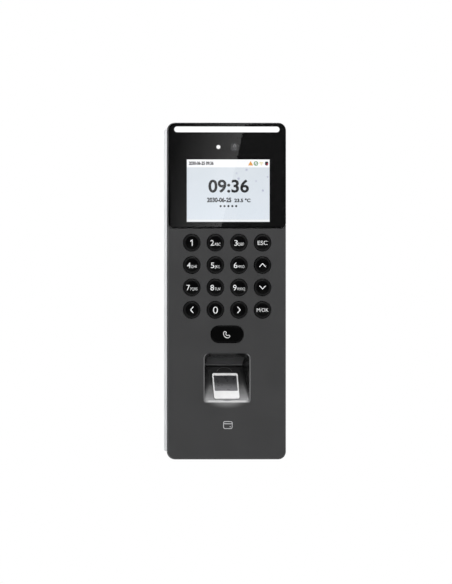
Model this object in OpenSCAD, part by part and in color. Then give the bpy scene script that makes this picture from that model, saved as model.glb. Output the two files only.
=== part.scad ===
// Wall terminal with a fingerprint reader, a keypad and a colour display.
// Millimetres. +X is right and +Z up for the user, who stands on the -Y side. The wall is y = 0.
// "drop" is measured down from the top edge, "depth" back from the front face.
// What lies on the front keeps its share of the body's width, height or depth.

/* [Body] */
// Width of the front
body_w = 69.5; // [63:0.5:76]
// Height of the front
body_h = 197; // [178:0.5:216]
// Front face to wall
body_d = 22; // [20:0.2:24]
// Corner radius of the front
corner_r = 4.5; // [3:0.5:6]
// Rounding of the front edge
edge_r = 0.9; // [0.5:0.1:1.1]
// Depth of the front housing
front_d = 6; // [5.8:0.1:6.2]
// Thickness of the front wall
front_wall = 2.8; // [2.6:0.1:3]
// Thickness of the side walls
side_wall = 2; // [1.8:0.1:2.2]
// Thickness of the rear wall
rear_wall = 1.8; // [1.5:0.1:2]
// How far the rear housing stays below the top edge
rear_inset_top = 3.2; // [2.5:0.1:5]
// How far the rear housing stays above the bottom edge
rear_inset_bottom = 4.5; // [4.3:0.1:6]
// How far the rear housing's sides stay inside the front's
rear_inset_side = 0.1; // [0:0.1:0.4]
// Rounding of the rear edge
rear_edge_r = 1.2; // [0.5:0.1:1.4]
// Gap between the rear housing and the wall
wall_gap = 0.3; // [0.2:0.1:0.5]

/* [Lens and display] */
// Thickness of the lens
lens_t = 1.5; // [1.2:0.1:1.6]
// Share of the height that the lens covers
lens_share = 0.3145; // [0.29:0.0005:0.34]
// Radius of the lens's lower corners
lens_r = 3.3; // [2:0.1:4.5]
// Rounding of the lens's front edge
lens_edge = 0.4; // [0.2:0.1:0.6]
// Gap between the lens and the housing
lens_gap = 0.12; // [0.08:0.02:0.2]
// Thickness of the black adhesive sheet
adhesive_t = 0.2; // [0.15:0.05:0.3]
// Side of the lens to the picture, at least
screen_side = 10.2; // [9.8:0.1:11]
// Foot of the lens to the picture, at least
screen_foot = 3.4; // [3.2:0.1:4]
// Drop of the picture's upper edge
screen_drop = 21.4; // [21:0.1:21.8]
// Sideways place of the picture
screen_x = 0.7; // [0:0.1:1]
// Side of the lens to the light bar
bar_side = 3.7; // [3:0.1:6]
// Height of the light bar
bar_h = 3.35; // [3:0.05:4]
// Drop of the light bar's middle
bar_drop = 3.9; // [3.4:0.1:4.2]
// Drop of the camera and the fill light
eye_drop = 14.2; // [13.8:0.1:14.4]
// Sideways place of the camera
camera_x = 4.6; // [4:0.1:6]
// Sideways place of the fill light
fill_x = -5; // [-6:0.1:-4.5]

/* [Keys] */
// Diameter of a round key, as a share of the smaller pitch
key_share = 0.733; // [0.7:0.005:0.79]
// Gap round each key
key_gap = 0.3; // [0.3:0.05:0.4]
// Column pitch, as a share of the width
col_share = 0.2; // [0.195:0.001:0.203]
// Row pitch, as a share of the height
row_share = 0.0665; // [0.065:0.0005:0.068]
// Lens edge to the middle of the first row, as a share of the height
first_row_share = 0.0419; // [0.0415:0.0001:0.046]
// How far the keys stand proud
key_proud = 0.8; // [0.7:0.1:1.2]
// Travel of the keys
key_travel = 0.7; // [0.4:0.1:0.8]
// Width of the call key
call_w = 19; // [16:0.2:22]
// Height of the call key
call_h = 9.7; // [9:0.1:11]
// Corner radius of the call key
call_r = 4.6; // [3:0.1:5]
// Last row to the middle of the call key, as a share of the height
call_share = 0.0726; // [0.071:0.0005:0.076]

/* [Finger recess] */
// Width of the recess at the front
recess_w = 26.6; // [25:0.2:28]
// Height of the recess at the front, as a share of the height
recess_share = 0.1426; // [0.14:0.0005:0.147]
// Depth of the recess, as a share of the depth
recess_deep_share = 0.682; // [0.64:0.005:0.7]
// Middle of the call key to the recess, as a share of the height
recess_gap_share = 0.0563; // [0.056:0.0005:0.061]
// Radius of the recess's upper corners
recess_r = 3.2; // [2:0.1:4]
// Height of the recess's sloped roof
roof_h = 6.4; // [6:0.1:7.5]
// Width of the recess at its deep end
deep_w = 21.6; // [20.6:0.1:23]
// Wall of the recess insert
guide_wall = 1.4; // [1.2:0.1:1.6]
// Width of the sensor frame
sensor_w = 15; // [14:0.1:16]
// Length of the sensor frame along the slope
sensor_l = 18; // [16.5:0.1:18.2]
// How far the sensor frame stands above the slope
sensor_proud = 0.7; // [0.4:0.1:1]

/* [Wall bracket] */
// Width of the bracket plate
plate_w = 48; // [46:0.5:49]
// Drop of the bracket plate's upper edge
plate_drop = 24; // [23:0.5:24.5]
// Bracket plate's lower edge to the recess
plate_foot = 4.9; // [4.5:0.1:6]
// Sheet thickness of the bracket
plate_t = 1.2; // [1:0.1:1.4]
// Sideways spacing of the wall screws
hole_span_x = 36; // [32:0.5:38]
// Upright spacing of the wall screws
hole_span_z = 80; // [76:0.5:84]
// Diameter of the wall screw holes
hole_dia = 4.5; // [3.5:0.1:5]
// Travel of the tamper plunger
tamper_travel = 0.8; // [0.4:0.1:1]

/* [Hidden] */
$fn = 48;
fit = 0.15;
sliver = 0.01;
over = 1;

half_w = body_w / 2;
lens_low = body_h * lens_share;
col_step = body_w * col_share;
row_step = body_h * row_share;
first_row = lens_low + body_h * first_row_share;
last_row = first_row + 3 * row_step;
call_drop = last_row + body_h * call_share;
recess_top = call_drop + body_h * recess_gap_share;
recess_span = body_h * recess_share;
recess_bottom = recess_top + recess_span;
recess_mid = recess_top + recess_span / 2;

plate_h = recess_top - plate_foot - plate_drop;
plate_end = plate_drop + plate_h;
origin_drop = plate_drop + plate_h / 2;
plate_depth = body_d - plate_t;
rear_d = body_d - wall_gap;

pocket_d = lens_t + adhesive_t;
cavity_top = max(rear_inset_top + side_wall, bar_drop + bar_h / 2 + 1.7);
cavity_bottom = body_h - rear_inset_bottom - side_wall;
cavity_w = body_w - 2 * side_wall;
rear_w = body_w - 2 * rear_inset_side;
rear_h = body_h - rear_inset_top - rear_inset_bottom;
rear_mid = rear_inset_top + rear_h / 2;
head_room = 2.7;
plate_pocket = plate_depth - head_room;
upper_back = plate_pocket - rear_wall;
tongue_w = 18;
tongue_pocket = plate_depth - 0.4;
lower_back = tongue_pocket - rear_wall;
cavity_split = plate_end + 2.6;
rear_bottom = body_h - rear_inset_bottom;

case_side = 5.5;
case_x = half_w - case_side;
case_drops = [cavity_top + 3.4, recess_top - 4, cavity_bottom - 4.6];
case_boss_r = 2.9;
case_post_r = 3.6;
case_screw_r = 1.3;
case_head_r = 2.4;
case_head_h = 1.8;
case_drive_r = 1.1;
case_drive_d = 1;
case_seat = front_d + 5;

bar_w = body_w - 2 * bar_side;
bar_floor = front_d - 1;
bar_board_t = 0.9;
bar_board_depth = bar_floor - bar_board_t;
bar_chip_t = 0.6;
bar_chip_w = 2.8;
bar_chip_h = 1.4;
bar_chips = 9;

picture_ratio = 4 / 3;
screen_w = min(body_w - 2 * screen_side, (lens_low - screen_drop - screen_foot) * picture_ratio);
screen_h = screen_w / picture_ratio;
display_near_side = 6;
display_far_side = 2.6;
display_over = 3;
display_under = 1.5;
display_w = screen_w + display_near_side + display_far_side;
display_left = screen_x - screen_w / 2 - display_near_side;
display_h = screen_h + display_over + display_under;
display_top = screen_drop - display_over;
display_mid = [display_left + display_w / 2, display_top + display_h / 2];
display_glass_t = 1.1;
display_light_t = 1.4;
display_back = pocket_d + display_glass_t + display_light_t;
bracket_t = 0.8;
bracket_back = display_back + bracket_t;
bracket_high_x = screen_w * 0.41;
bracket_high = display_top - 3.1;
bracket_low = lens_low + 1.8;
bracket_ear = 2;
bracket_screws = [
    [-bracket_high_x, bracket_high], [bracket_high_x, bracket_high],
    [-case_x, bracket_low], [case_x, bracket_low]
];

screw_r = 0.9;
head_r = 1.8;
head_h = 1.2;
boss_r = 2.1;
screw_fit = 0.05;
clear_r = screw_r + 0.2;

eye_board_depth = 6;
eye_board_t = 0.8;
eye_board_back = eye_board_depth + eye_board_t;
eye_board_w = 25;
eye_board_h = 8.6;
eye_screw_x = 10.6;
barrel_r = 3.1;
barrel_near = pocket_d + 0.1;
barrel_far = 4.4;
barrel_bore = 1.9;
barrel_floor = 3.4;
hood_r = 2.6;
hood_low_r = 1.8;
hood_far = 2.3;
glass_r = barrel_bore - screw_fit;
glass_near = 2.2;
glass_ball_r = 4;
holder_w = 8.4;
holder_near = 3;
fill_chip_w = 3.5;
fill_chip_h = 2.8;
fill_chip_near = eye_board_depth - 0.9;
camera_window_r = 2.4;
fill_window_r = 1.4;
pipe_r = 1.6;

key_r = key_share * min(col_step, row_step) / 2;
key_flange = 0.8;
key_flange_w = 0.8;
key_base = front_wall + key_flange;
key_stem = 0.8;
key_stem_r = 2.2;
call_stem_w = 8;
call_stem_h = 4.4;
call_stem_r = 2;
key_bevel = 0.6;
key_hole_r = key_r + key_gap;
key_break = 0.15;
key_dish = 0.3;
key_dish_r = key_r - 1.1;
dish_ball_r = (key_dish_r * key_dish_r + key_dish * key_dish) / (2 * key_dish);
mat_top = key_base + key_stem + key_travel + 0.05;
mat_boss = 0.5;
mat_boss_r = 2.8;
mat_boss_foot_r = 4;
mat_call_rim = 0.5;
mat_t = 0.8;
mat_depth = mat_top + mat_boss;
pad_board_depth = mat_depth + mat_t;
pad_board_t = 1.2;
pad_board_back = pad_board_depth + pad_board_t;
pad_w = 3 * col_step + 15;
pad_top = first_row - 6.6;
pad_waist = last_row + 7.5;
pad_bottom = call_drop + 6.6;
pad_tail_w = 30;
pad_screws = [for (x = [-1, 1], r = [0.5, 2.5]) [x * col_step, first_row + r * row_step]];

main_depth = pad_board_back + 2.6;
main_t = 1.6;
main_back = main_depth + main_t;
main_w = 54;
main_top = 20;
main_bottom = call_drop - 3;
main_screw_x = main_w / 2 - 4;
main_screws = [for (x = [-1, 1], y = [main_top + 4.5, main_bottom - 4.5]) [x * main_screw_x, y]];
main_screw_l = 2.6;
chip_t = 1.2;
processor_w = 16;
processor_x = 12;
processor_drop = main_top + 22;
memory_w = 12;
memory_h = 8;
memory_drop = processor_drop + processor_w / 2 + memory_h;
power_x = -11;
power_w = 14;
power_h = 7;
driver_x = 10;
driver_w = 8;
driver_h = 10;
driver_drop = main_top + 35;
display_socket_x = -11;
display_socket_w = 10;
display_socket_h = 20;
sensor_socket_w = 8;
sensor_socket_h = 3;
sensor_socket_up = 5.5;
connector_w = 20;
connector_h = 4;
connector_up = 7;
cell_r = 6.25;
cell_t = 2;
cell_side = 13;
cell_place = [cell_side - main_w / 2, first_row + 1.5 * row_step];

header_pitch = 9.6;
header_w = 8.8;
header_h = 5.4;
header_wall = 0.8;
header_pins_each = 4;
pin_pitch = 1.7;
pin_w = 0.5;
header_back = plate_pocket - 0.4;
wiring_w = 4 * header_pitch + 2.4;
wiring_h = 18.6;
header_row = 7.6;
header_places = [
    for (x = [-1.5, -0.5, 0.5, 1.5], z = [-0.5, 0.5]) [x * header_pitch, origin_drop + z * header_row]
];

recess_deep = body_d * recess_deep_share;
recess_chamfer = 0.5;
lip_depth = 0.9;
deep_slot = 0.7;
deep_top = recess_top + roof_h;
deep_bottom = deep_top + deep_slot;
floor_run = recess_bottom - deep_bottom;
floor_fall = recess_deep - recess_chamfer;
floor_tilt = atan(floor_fall / floor_run);
sensor_foot = 1.25;
sensor_drop = recess_bottom - sensor_foot - sensor_l / 2 * cos(floor_tilt);
sensor_depth = recess_chamfer + (recess_bottom - sensor_drop) * floor_fall / floor_run;
seat_t = 1.1;
seat_over = 3;
frame_side = 0.7;
frame_top = 1.6;
frame_foot = 5.4;
window_l = sensor_l - frame_top - frame_foot;
window_v = (frame_foot - frame_top) / 2;
block_w = sensor_w + 4.5;
block_l = sensor_l + 1.2;
ribbon_room = 1.43;
block_room = lower_back - ribbon_room - slope_depth(block_l / 2, 0);
block_t = block_room / cos(floor_tilt) - seat_t;
sensor_board_t = 1;
sensor_board_l = block_l - 5;
sensor_board_v = -2.5;
flange_t = 1.2;
flange_side = 6.2;
flange_end = 3.5;
guide_screws = [for (x = [-1, 1], y = [4.5, recess_span - 5]) [x * (recess_w / 2 + 3.9), recess_top + y]];
tip_r = 8.6;
tip_dip = 0.5;
tip_ball_r = (tip_r * tip_r + tip_dip * tip_dip) / (2 * tip_dip);
tip_v = 5.2;
scoop_r = 22;
scoop_sag = 3.5;
scoop_dip = 0.75;
scoop_fillet = (scoop_sag * scoop_sag + scoop_dip * scoop_dip) / (2 * scoop_dip);

antenna_top = recess_bottom + 6;
antenna_bottom = cavity_bottom - 3.2;
antenna_w = 2 * (case_x - case_boss_r - 1.1);
antenna_depth = front_wall + 0.8;
antenna_t = 1;
antenna_back = antenna_depth + antenna_t;
antenna_screw_x = antenna_w / 2 - 3;
antenna_screws = [for (x = [-1, 1], y = [antenna_top + 2.4, antenna_bottom - 2.4]) [x * antenna_screw_x, y]];
coil_side = 6.5;
coil_edge = 1.5;
coil_w = antenna_w - 2 * coil_side;
coil_h = antenna_bottom - antenna_top - 2 * coil_edge;
coil_turns = 4;
coil_pitch = 1.1;
coil_track = 0.5;
coil_t = 0.2;

speaker_x = case_x - 10.5;
speaker_drop = antenna_bottom - 11.5;
speaker_r = 9.5;
speaker_t = 4.2;
speaker_rim = 1;
speaker_hub_r = 3;
speaker_dish = 1.6;
grille_r = 8;
grille_pitch = 3;
grille_slot = 1.5;
mic_x = -18;
mic_depth = 11;
mic_r = 3;
mic_t = 2.6;
mic_hole_r = 0.6;
tamper_drop = origin_drop + 25;
tamper_r = 1.45;
tamper_bore = tamper_r + 0.3;
tamper_room = 0.85;
tamper_floor = main_back + 0.6;
tamper_switch_t = upper_back - main_back - tamper_room;
tamper_switch_w = 7;

hook_x = 14;
hook_drop = origin_drop - 29;
hook_w = 8;
hook_lip = 3.4;
hook_depth = upper_back - 0.5 - plate_t;
tab_gap = 0.2;
tab_reach = 11;
lock_depth = body_d - 7;
lock_r = 1.4;
lock_head_r = 2.6;
lock_head_h = 1.8;
lock_boss_r = 3.2;
lock_boss_l = 6.5;
main_post_r = 2.6;
seal_t = 0.8;
plate_room = 0.6;

dark_grey = "#454548";
light_grey = "#d5d8da";
glossy_black = "#18181b";
board_green = "#1f5a3c";
silver = "#c9ccd0";
white = "#f4f6f8";
copper = "#b87a4b";

key_rows = [
    ["key_1", "key_2", "key_3", "key_esc"],
    ["key_4", "key_5", "key_6", "key_up"],
    ["key_7", "key_8", "key_9", "key_down"],
    ["key_left", "key_0", "key_right", "key_ok"]
];
key_names = [for (row = key_rows) for (name = row) name];

function up(drop) = origin_drop - drop;
function back(depth) = depth - body_d;
function key_x(col) = (col - 1.5) * col_step;
function key_drop(row) = first_row + row * row_step;
function slope_drop(v, w) = sensor_drop - v * cos(floor_tilt) - w * sin(floor_tilt);
function slope_depth(v, w) = sensor_depth + v * sin(floor_tilt) - w * cos(floor_tilt);
function reversed(list) = [for (i = [len(list) - 1:-1:0]) list[i]];

// Extrudes a front-view outline between two depths
module slab(near, far) {
    translate([0, back(far), 0]) rotate([90, 0, 0]) linear_extrude(far - near) children();
}

module at(x, drop) {
    translate([x, up(drop)]) children();
}

module post(place, r, near, far) {
    translate([place[0], back(far), up(place[1])]) rotate([90, 0, 0]) cylinder(r = r, h = far - near);
}

// A bore that runs out of both ends
module drill(place, r, near, far) {
    post(place, r, near - over, far + over);
}

module cone(place, near_r, far_r, near, far) {
    translate([place[0], back(far), up(place[1])])
        rotate([90, 0, 0]) cylinder(r1 = far_r, r2 = near_r, h = far - near);
}

module block(x, drop, depth) {
    translate([x[0], back(depth[0]), up(drop[1])])
        cube([x[1] - x[0], depth[1] - depth[0], drop[1] - drop[0]]);
}

// A block about a place on the front view
module centred(x, drop, w, h, near, far) {
    block([x - w / 2, x + w / 2], [drop - h / 2, drop + h / 2], [near, far]);
}

// Rounded rectangle with its own upper and lower corner radius
module plaque(w, h, top_r, low_r) {
    translate([-w / 2, low_r - h / 2]) square([w, h - top_r - low_r]);
    translate([top_r - w / 2, 0]) square([w - 2 * top_r, h / 2]);
    translate([low_r - w / 2, -h / 2]) square([w - 2 * low_r, h / 2]);
    for (side = [-1, 1]) {
        translate([side * (w / 2 - top_r), h / 2 - top_r]) circle(top_r);
        translate([side * (w / 2 - low_r), low_r - h / 2]) circle(low_r);
    }
}

module rounded(w, h, r) {
    plaque(w, h, r, r);
}

module on_slope() {
    translate([0, back(sensor_depth), up(sensor_drop)]) rotate([90 - floor_tilt, 0, 0]) children();
}

module front_outline(inset) {
    at(0, body_h / 2) rounded(body_w - 2 * inset, body_h - 2 * inset, corner_r - inset);
}

module rear_outline(inset) {
    at(0, rear_mid) rounded(rear_w - 2 * inset, rear_h - 2 * inset, max(1.5 - inset, 0.2));
}

module cavity_outline() {
    at(0, (cavity_top + cavity_bottom) / 2) rounded(cavity_w, cavity_bottom - cavity_top, 1.5);
}

module lens_outline(inset) {
    at(0, lens_low / 2)
        plaque(body_w - 2 * inset, lens_low - 2 * inset, corner_r - inset, lens_r - inset);
}

module display_outline(gap) {
    at(display_mid[0], display_mid[1]) rounded(display_w + 2 * gap, display_h + 2 * gap, 0.6);
}

module bar_outline(grow) {
    at(0, bar_drop) {
        square([bar_w - bar_h, bar_h + 2 * grow], center = true);
        for (side = [-1, 1]) translate([side * (bar_w - bar_h) / 2, 0]) circle(bar_h / 2 + grow);
    }
}

module call_outline(grow) {
    at(0, call_drop) rounded(call_w + 2 * grow, call_h + 2 * grow, call_r + grow);
}

module recess_outline(grow) {
    at(0, recess_mid) plaque(recess_w + 2 * grow, recess_span + 2 * grow, recess_r + grow, 0.8 + grow);
}

// The wedge-shaped hollow of the finger recess, or its outside when grown
module pit(grow, near) {
    far = recess_deep + grow;
    side = deep_w / 2 + grow;
    hull() {
        slab(near, near + sliver) recess_outline(grow);
        block([-side, side], [deep_top - grow, deep_bottom + grow], [far - sliver, far]);
    }
}

module recess_chamfer_cut() {
    hull() {
        slab(-sliver, 0) recess_outline(recess_chamfer + sliver);
        slab(recess_chamfer, recess_chamfer + sliver) recess_outline(0);
    }
}

// Rolls the recess's lower lip over into its sloped floor
module scoop_cut() {
    middle = recess_bottom + scoop_sag - scoop_r;
    side = recess_w / 2 - 0.6;
    intersection() {
        translate([0, back(0), up(middle)]) rotate([-90, 0, 0]) rotate_extrude($fn = 96) difference() {
            translate([0, -1]) square([scoop_r, 1 + scoop_dip * 1.6]);
            translate([scoop_r, scoop_fillet]) circle(scoop_fillet, $fn = 96);
        }
        block([-side, side], [recess_bottom - 0.8, recess_bottom + scoop_sag], [-1, 3]);
    }
}

module front_block() {
    steps = 5;
    hull() {
        for (i = [0:steps - 1]) {
            turn = 90 * i / steps;
            level = edge_r * (1 - cos(turn));
            slab(level, level + sliver) front_outline(edge_r * (1 - sin(turn)));
        }
        slab(edge_r, front_d) front_outline(0);
    }
}

module front_bosses() {
    for (p = bracket_screws) post(p, boss_r, front_wall - sliver, display_back);
    for (p = pad_screws) post(p, boss_r, front_wall - sliver, pad_board_depth);
    for (x = [-1, 1]) post([x * eye_screw_x, eye_drop], 1.7, front_wall - sliver, eye_board_depth);
    for (p = antenna_screws) post(p, boss_r, front_wall - sliver, antenna_depth);
    for (x = [-1, 1], y = case_drops) post([x * case_x, y], case_boss_r, front_wall - sliver, front_d);
}

module front_pilots() {
    pilot = screw_r + screw_fit;
    case_pilot = case_screw_r + screw_fit;
    for (p = bracket_screws) post(p, pilot, pocket_d + 0.4, display_back + 1);
    for (p = pad_screws) post(p, pilot, pad_board_depth - 3, pad_board_depth + 1);
    for (x = [-1, 1]) post([x * eye_screw_x, eye_drop], pilot, eye_board_depth - 3, eye_board_depth + 1);
    for (p = antenna_screws) post(p, pilot, antenna_depth - 2.4, antenna_depth + 1);
    for (p = guide_screws) post(p, pilot, front_wall - 1.8, front_wall + 1);
    for (x = [-1, 1], y = case_drops) post([x * case_x, y], case_pilot, front_wall - 0.4, front_d + 1);
}

module key_holes() {
    for (c = [0:3], r = [0:3]) {
        place = [key_x(c), key_drop(r)];
        post(place, key_hole_r, -1, front_wall + 1);
        cone(place, key_hole_r + key_break + 0.1, key_hole_r - 0.1, -0.1, key_break + 0.1);
    }
    slab(-1, front_wall + 1) call_outline(key_gap);
}

module front_housing() {
    color(dark_grey) difference() {
        union() {
            difference() {
                front_block();
                slab(front_wall, front_d + 1) cavity_outline();
            }
            front_bosses();
        }
        slab(-1, pocket_d) at(0, (lens_low - 10) / 2)
            plaque(body_w + 2 * lens_gap, lens_low + 10 + 2 * lens_gap, 1, lens_r);
        slab(pocket_d - 0.5, bar_floor) bar_outline(0.4);
        translate([0, back(bar_floor - 0.6), up(cavity_top + 1)]) cylinder(r = 0.5, h = 2.5);
        slab(pocket_d - 0.5, front_wall + 1) display_outline(0.3);
        post([camera_x, eye_drop], barrel_r + 0.2, pocket_d - 0.5, front_wall + 1);
        post([fill_x, eye_drop], pipe_r + 0.2, pocket_d - 0.5, front_wall + 1);
        key_holes();
        recess_chamfer_cut();
        pit(0, recess_chamfer);
        scoop_cut();
        slab(lip_depth, front_wall + 1) recess_outline(guide_wall + fit);
        front_pilots();
    }
}

module lens_panel() {
    color(glossy_black) hull() {
        slab(0, sliver) lens_outline(lens_edge);
        slab(lens_edge * 0.3, lens_edge * 0.3 + sliver) lens_outline(lens_edge * 0.3);
        slab(lens_edge, lens_t) lens_outline(0);
    }
}

module lens_adhesive() {
    color("#0c0c0d") slab(lens_t, pocket_d) difference() {
        lens_outline(0.1);
        bar_outline(0);
        at(camera_x, eye_drop) circle(camera_window_r);
        at(fill_x, eye_drop) circle(fill_window_r);
        at(screen_x, screen_drop + screen_h / 2) square([screen_w, screen_h], center = true);
    }
}

module bar_chip_row(grow, near, far) {
    for (i = [0:bar_chips - 1]) {
        x = (i - (bar_chips - 1) / 2) * (bar_w - 8) / (bar_chips - 1);
        centred(x, bar_drop, bar_chip_w + 2 * grow, bar_chip_h + 2 * grow, near, far);
    }
}

module light_bar_diffuser() {
    color(white) difference() {
        slab(pocket_d, bar_board_depth) bar_outline(0.25);
        bar_chip_row(0.2, bar_board_depth - bar_chip_t - 0.1, bar_board_depth + 1);
    }
}

module light_bar_board() {
    color(board_green) slab(bar_board_depth, bar_floor) bar_outline(0.25);
}

module light_bar_chips() {
    color("#f2e7a8") bar_chip_row(0, bar_board_depth - bar_chip_t, bar_board_depth);
}

module display_panel() {
    color("#dfe4e8") slab(pocket_d, pocket_d + display_glass_t) display_outline(0);
}

module display_backlight() {
    color(white) slab(pocket_d + display_glass_t, display_back) display_outline(0);
}

module display_bracket() {
    plate_left = display_left + 1.2;
    plate_right = display_left + display_w;
    plate_low = display_top + display_h;
    ear_h = bracket_low - plate_low + bracket_ear;
    color(silver) difference() {
        slab(display_back, bracket_back) {
            translate([plate_left, up(plate_low)]) square([plate_right - plate_left, display_h]);
            for (p = bracket_screws) at(p[0], p[1]) circle(boss_r);
            for (side = [0, 1])
                at(bracket_screws[side][0] - boss_r, display_top + bracket_ear)
                    square([2 * boss_r, display_top + bracket_ear - bracket_high]);
            at(-case_x, bracket_low) square([plate_left + case_x + bracket_ear, ear_h]);
            at(plate_right - bracket_ear, bracket_low) square([case_x - plate_right + bracket_ear, ear_h]);
        }
        for (p = bracket_screws) drill(p, clear_r, display_back, bracket_back);
    }
}

// Leaves the display's left edge, folds behind it and lands on the main board
module display_ribbon() {
    ribbon_w = 18;
    ribbon_t = 0.3;
    fold_r = 1.5;
    start = pocket_d + display_glass_t + 0.4;
    turn_x = display_left - 0.4;
    folded = start + 2 * fold_r - ribbon_t;
    landing = main_depth - 1.2;
    path = [[turn_x, folded], [-19, folded], [-14, landing - ribbon_t], [-8, landing - ribbon_t]];
    color("#c98a3a") translate([0, back(0), up(display_mid[1] + ribbon_w / 2)]) linear_extrude(ribbon_w) {
        translate([turn_x, start]) square([display_left - turn_x, ribbon_t]);
        difference() {
            translate([turn_x, start + fold_r]) circle(fold_r);
            translate([turn_x, start + fold_r]) circle(fold_r - ribbon_t);
            translate([turn_x, start - 1]) square([fold_r * 2, fold_r * 4]);
        }
        polygon(concat(path, reversed([for (p = path) p + [0, ribbon_t]])));
    }
}

module camera_barrel() {
    color("#101012") difference() {
        post([camera_x, eye_drop], barrel_r, barrel_near, barrel_far);
        post([camera_x, eye_drop], barrel_bore, pocket_d, barrel_floor);
        cone([camera_x, eye_drop], hood_r, hood_low_r, pocket_d, hood_far);
    }
}

module camera_glass() {
    color("#2a3040") intersection() {
        post([camera_x, eye_drop], glass_r, pocket_d, barrel_floor);
        translate([camera_x, back(glass_near + glass_ball_r), up(eye_drop)]) sphere(glass_ball_r);
    }
}

module camera_holder() {
    color("#202022") difference() {
        slab(holder_near, eye_board_depth) at(camera_x, eye_drop) square(holder_w, center = true);
        post([camera_x, eye_drop], barrel_r + screw_fit, holder_near - over, barrel_far);
    }
}

module camera_board() {
    color(board_green) difference() {
        slab(eye_board_depth, eye_board_back)
            at(0, eye_drop) square([eye_board_w, eye_board_h], center = true);
        for (x = [-1, 1]) drill([x * eye_screw_x, eye_drop], clear_r, eye_board_depth, eye_board_back);
    }
}

module fill_light_pipe() {
    color(white) post([fill_x, eye_drop], pipe_r, barrel_near, fill_chip_near);
}

module fill_light_chip() {
    color("#f2e7a8") slab(fill_chip_near, eye_board_depth)
        at(fill_x, eye_drop) square([fill_chip_w, fill_chip_h], center = true);
}

module key_body() {
    top = key_base + key_proud;
    flange_r = key_hole_r + key_flange_w;
    profile = [
        [0, -key_stem], [key_stem_r, -key_stem], [key_stem_r, 0],
        [flange_r, 0], [flange_r, key_flange], [key_r, key_flange],
        [key_r, top - key_bevel], [key_r - key_bevel * 0.35, top - key_bevel * 0.25],
        [key_r - key_bevel, top], [0, top]
    ];
    difference() {
        rotate_extrude() polygon(profile);
        translate([0, 0, top + dish_ball_r - key_dish]) sphere(dish_ball_r);
    }
}

module round_key(col, row) {
    color(glossy_black) translate([key_x(col), back(key_base), up(key_drop(row))])
        rotate([90, 0, 0]) key_body();
}

module call_key() {
    shoulder = key_bevel * 0.25 - key_proud;
    color(glossy_black) union() {
        hull() {
            slab(-key_proud, sliver - key_proud) call_outline(-key_bevel);
            slab(shoulder, shoulder + sliver) call_outline(-key_bevel * 0.35);
            slab(key_bevel - key_proud, key_base - sliver) call_outline(0);
        }
        slab(front_wall, key_base) call_outline(key_gap + key_flange_w);
        slab(key_base - sliver, key_base + key_stem) at(0, call_drop)
            rounded(call_stem_w, call_stem_h, call_stem_r);
    }
}

// Wide behind the round keys, narrow behind the call key
module pad_outline(inset) {
    at(0, (pad_top + pad_waist) / 2) rounded(pad_w - 2 * inset, pad_waist - pad_top - 2 * inset, 2);
    at(0, (last_row + pad_bottom) / 2) rounded(pad_tail_w - 2 * inset, pad_bottom - last_row - 2 * inset, 2);
}

module mat_dome(col, row) {
    cone([key_x(col), key_drop(row)], mat_boss_r, mat_boss_foot_r, mat_top, mat_depth + sliver);
}

module keypad_mat() {
    color("#6f7276") difference() {
        union() {
            slab(mat_depth, pad_board_depth) pad_outline(0.5);
            for (c = [0:3], r = [0:3]) mat_dome(c, r);
            slab(mat_top, mat_depth + sliver) at(0, call_drop)
                rounded(call_stem_w + 2 * mat_call_rim, call_stem_h + 2 * mat_call_rim, 2.6);
        }
        for (p = pad_screws) post(p, boss_r + 0.3, mat_top - 1, pad_board_depth + 1);
    }
}

module keypad_board() {
    color(board_green) difference() {
        slab(pad_board_depth, pad_board_back) pad_outline(0);
        for (p = pad_screws) drill(p, clear_r, pad_board_depth, pad_board_back);
    }
}

module board_connector() {
    color("#e8e4d8")
        centred(0, main_bottom - connector_up, connector_w, connector_h, pad_board_back, main_depth);
}

module main_board() {
    color(board_green) difference() {
        slab(main_depth, main_back)
            at(0, (main_top + main_bottom) / 2) rounded(main_w, main_bottom - main_top, 2);
        for (p = main_screws) drill(p, clear_r, main_depth, main_back);
    }
}

module main_board_chips() {
    front = main_depth - chip_t;
    rear = main_back + chip_t;
    color("#1b1c1f") {
        centred(processor_x, processor_drop, processor_w, processor_w, front, main_depth);
        centred(processor_x, memory_drop, memory_w, memory_h, front, main_depth);
        centred(display_socket_x, display_mid[1], display_socket_w, display_socket_h, front, main_depth);
        centred(power_x, driver_drop, power_w, power_h, main_back, rear);
        centred(driver_x, driver_drop, driver_w, driver_h, main_back, rear);
        centred(0, main_bottom - sensor_socket_up, sensor_socket_w, sensor_socket_h, main_back, rear);
    }
}

module clock_cell() {
    color(silver) post(cell_place, cell_r, main_depth - cell_t, main_depth);
}

module wiring_headers() {
    socket_w = header_w - 2 * header_wall;
    socket_h = header_h - 2 * header_wall;
    color("#efece2") for (p = header_places) difference() {
        centred(p[0], p[1], header_w, header_h, main_back, header_back);
        centred(p[0], p[1], socket_w, socket_h, main_back + 1, header_back + 1);
    }
}

module header_pins() {
    color("#d8b65a") for (p = header_places, i = [0:header_pins_each - 1]) {
        x = p[0] + (i - (header_pins_each - 1) / 2) * pin_pitch;
        centred(x, p[1], pin_w, pin_w, main_back + 1, header_back - 1);
    }
}

module sensor_seat(grow) {
    reach = block_t + sensor_board_t + seat_over;
    on_slope() translate([0, 0, -seat_t - reach]) linear_extrude(reach)
        square([block_w + 2 * grow, block_l + 2 * grow], center = true);
}

module fingertip_dish() {
    on_slope() translate([0, tip_v, 0]) intersection() {
        translate([0, 0, tip_ball_r - tip_dip]) sphere(tip_ball_r, $fn = 96);
        translate([-tip_r, -tip_r, -1]) cube([2 * tip_r, 2 * tip_r, 1 + sliver]);
    }
}

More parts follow.
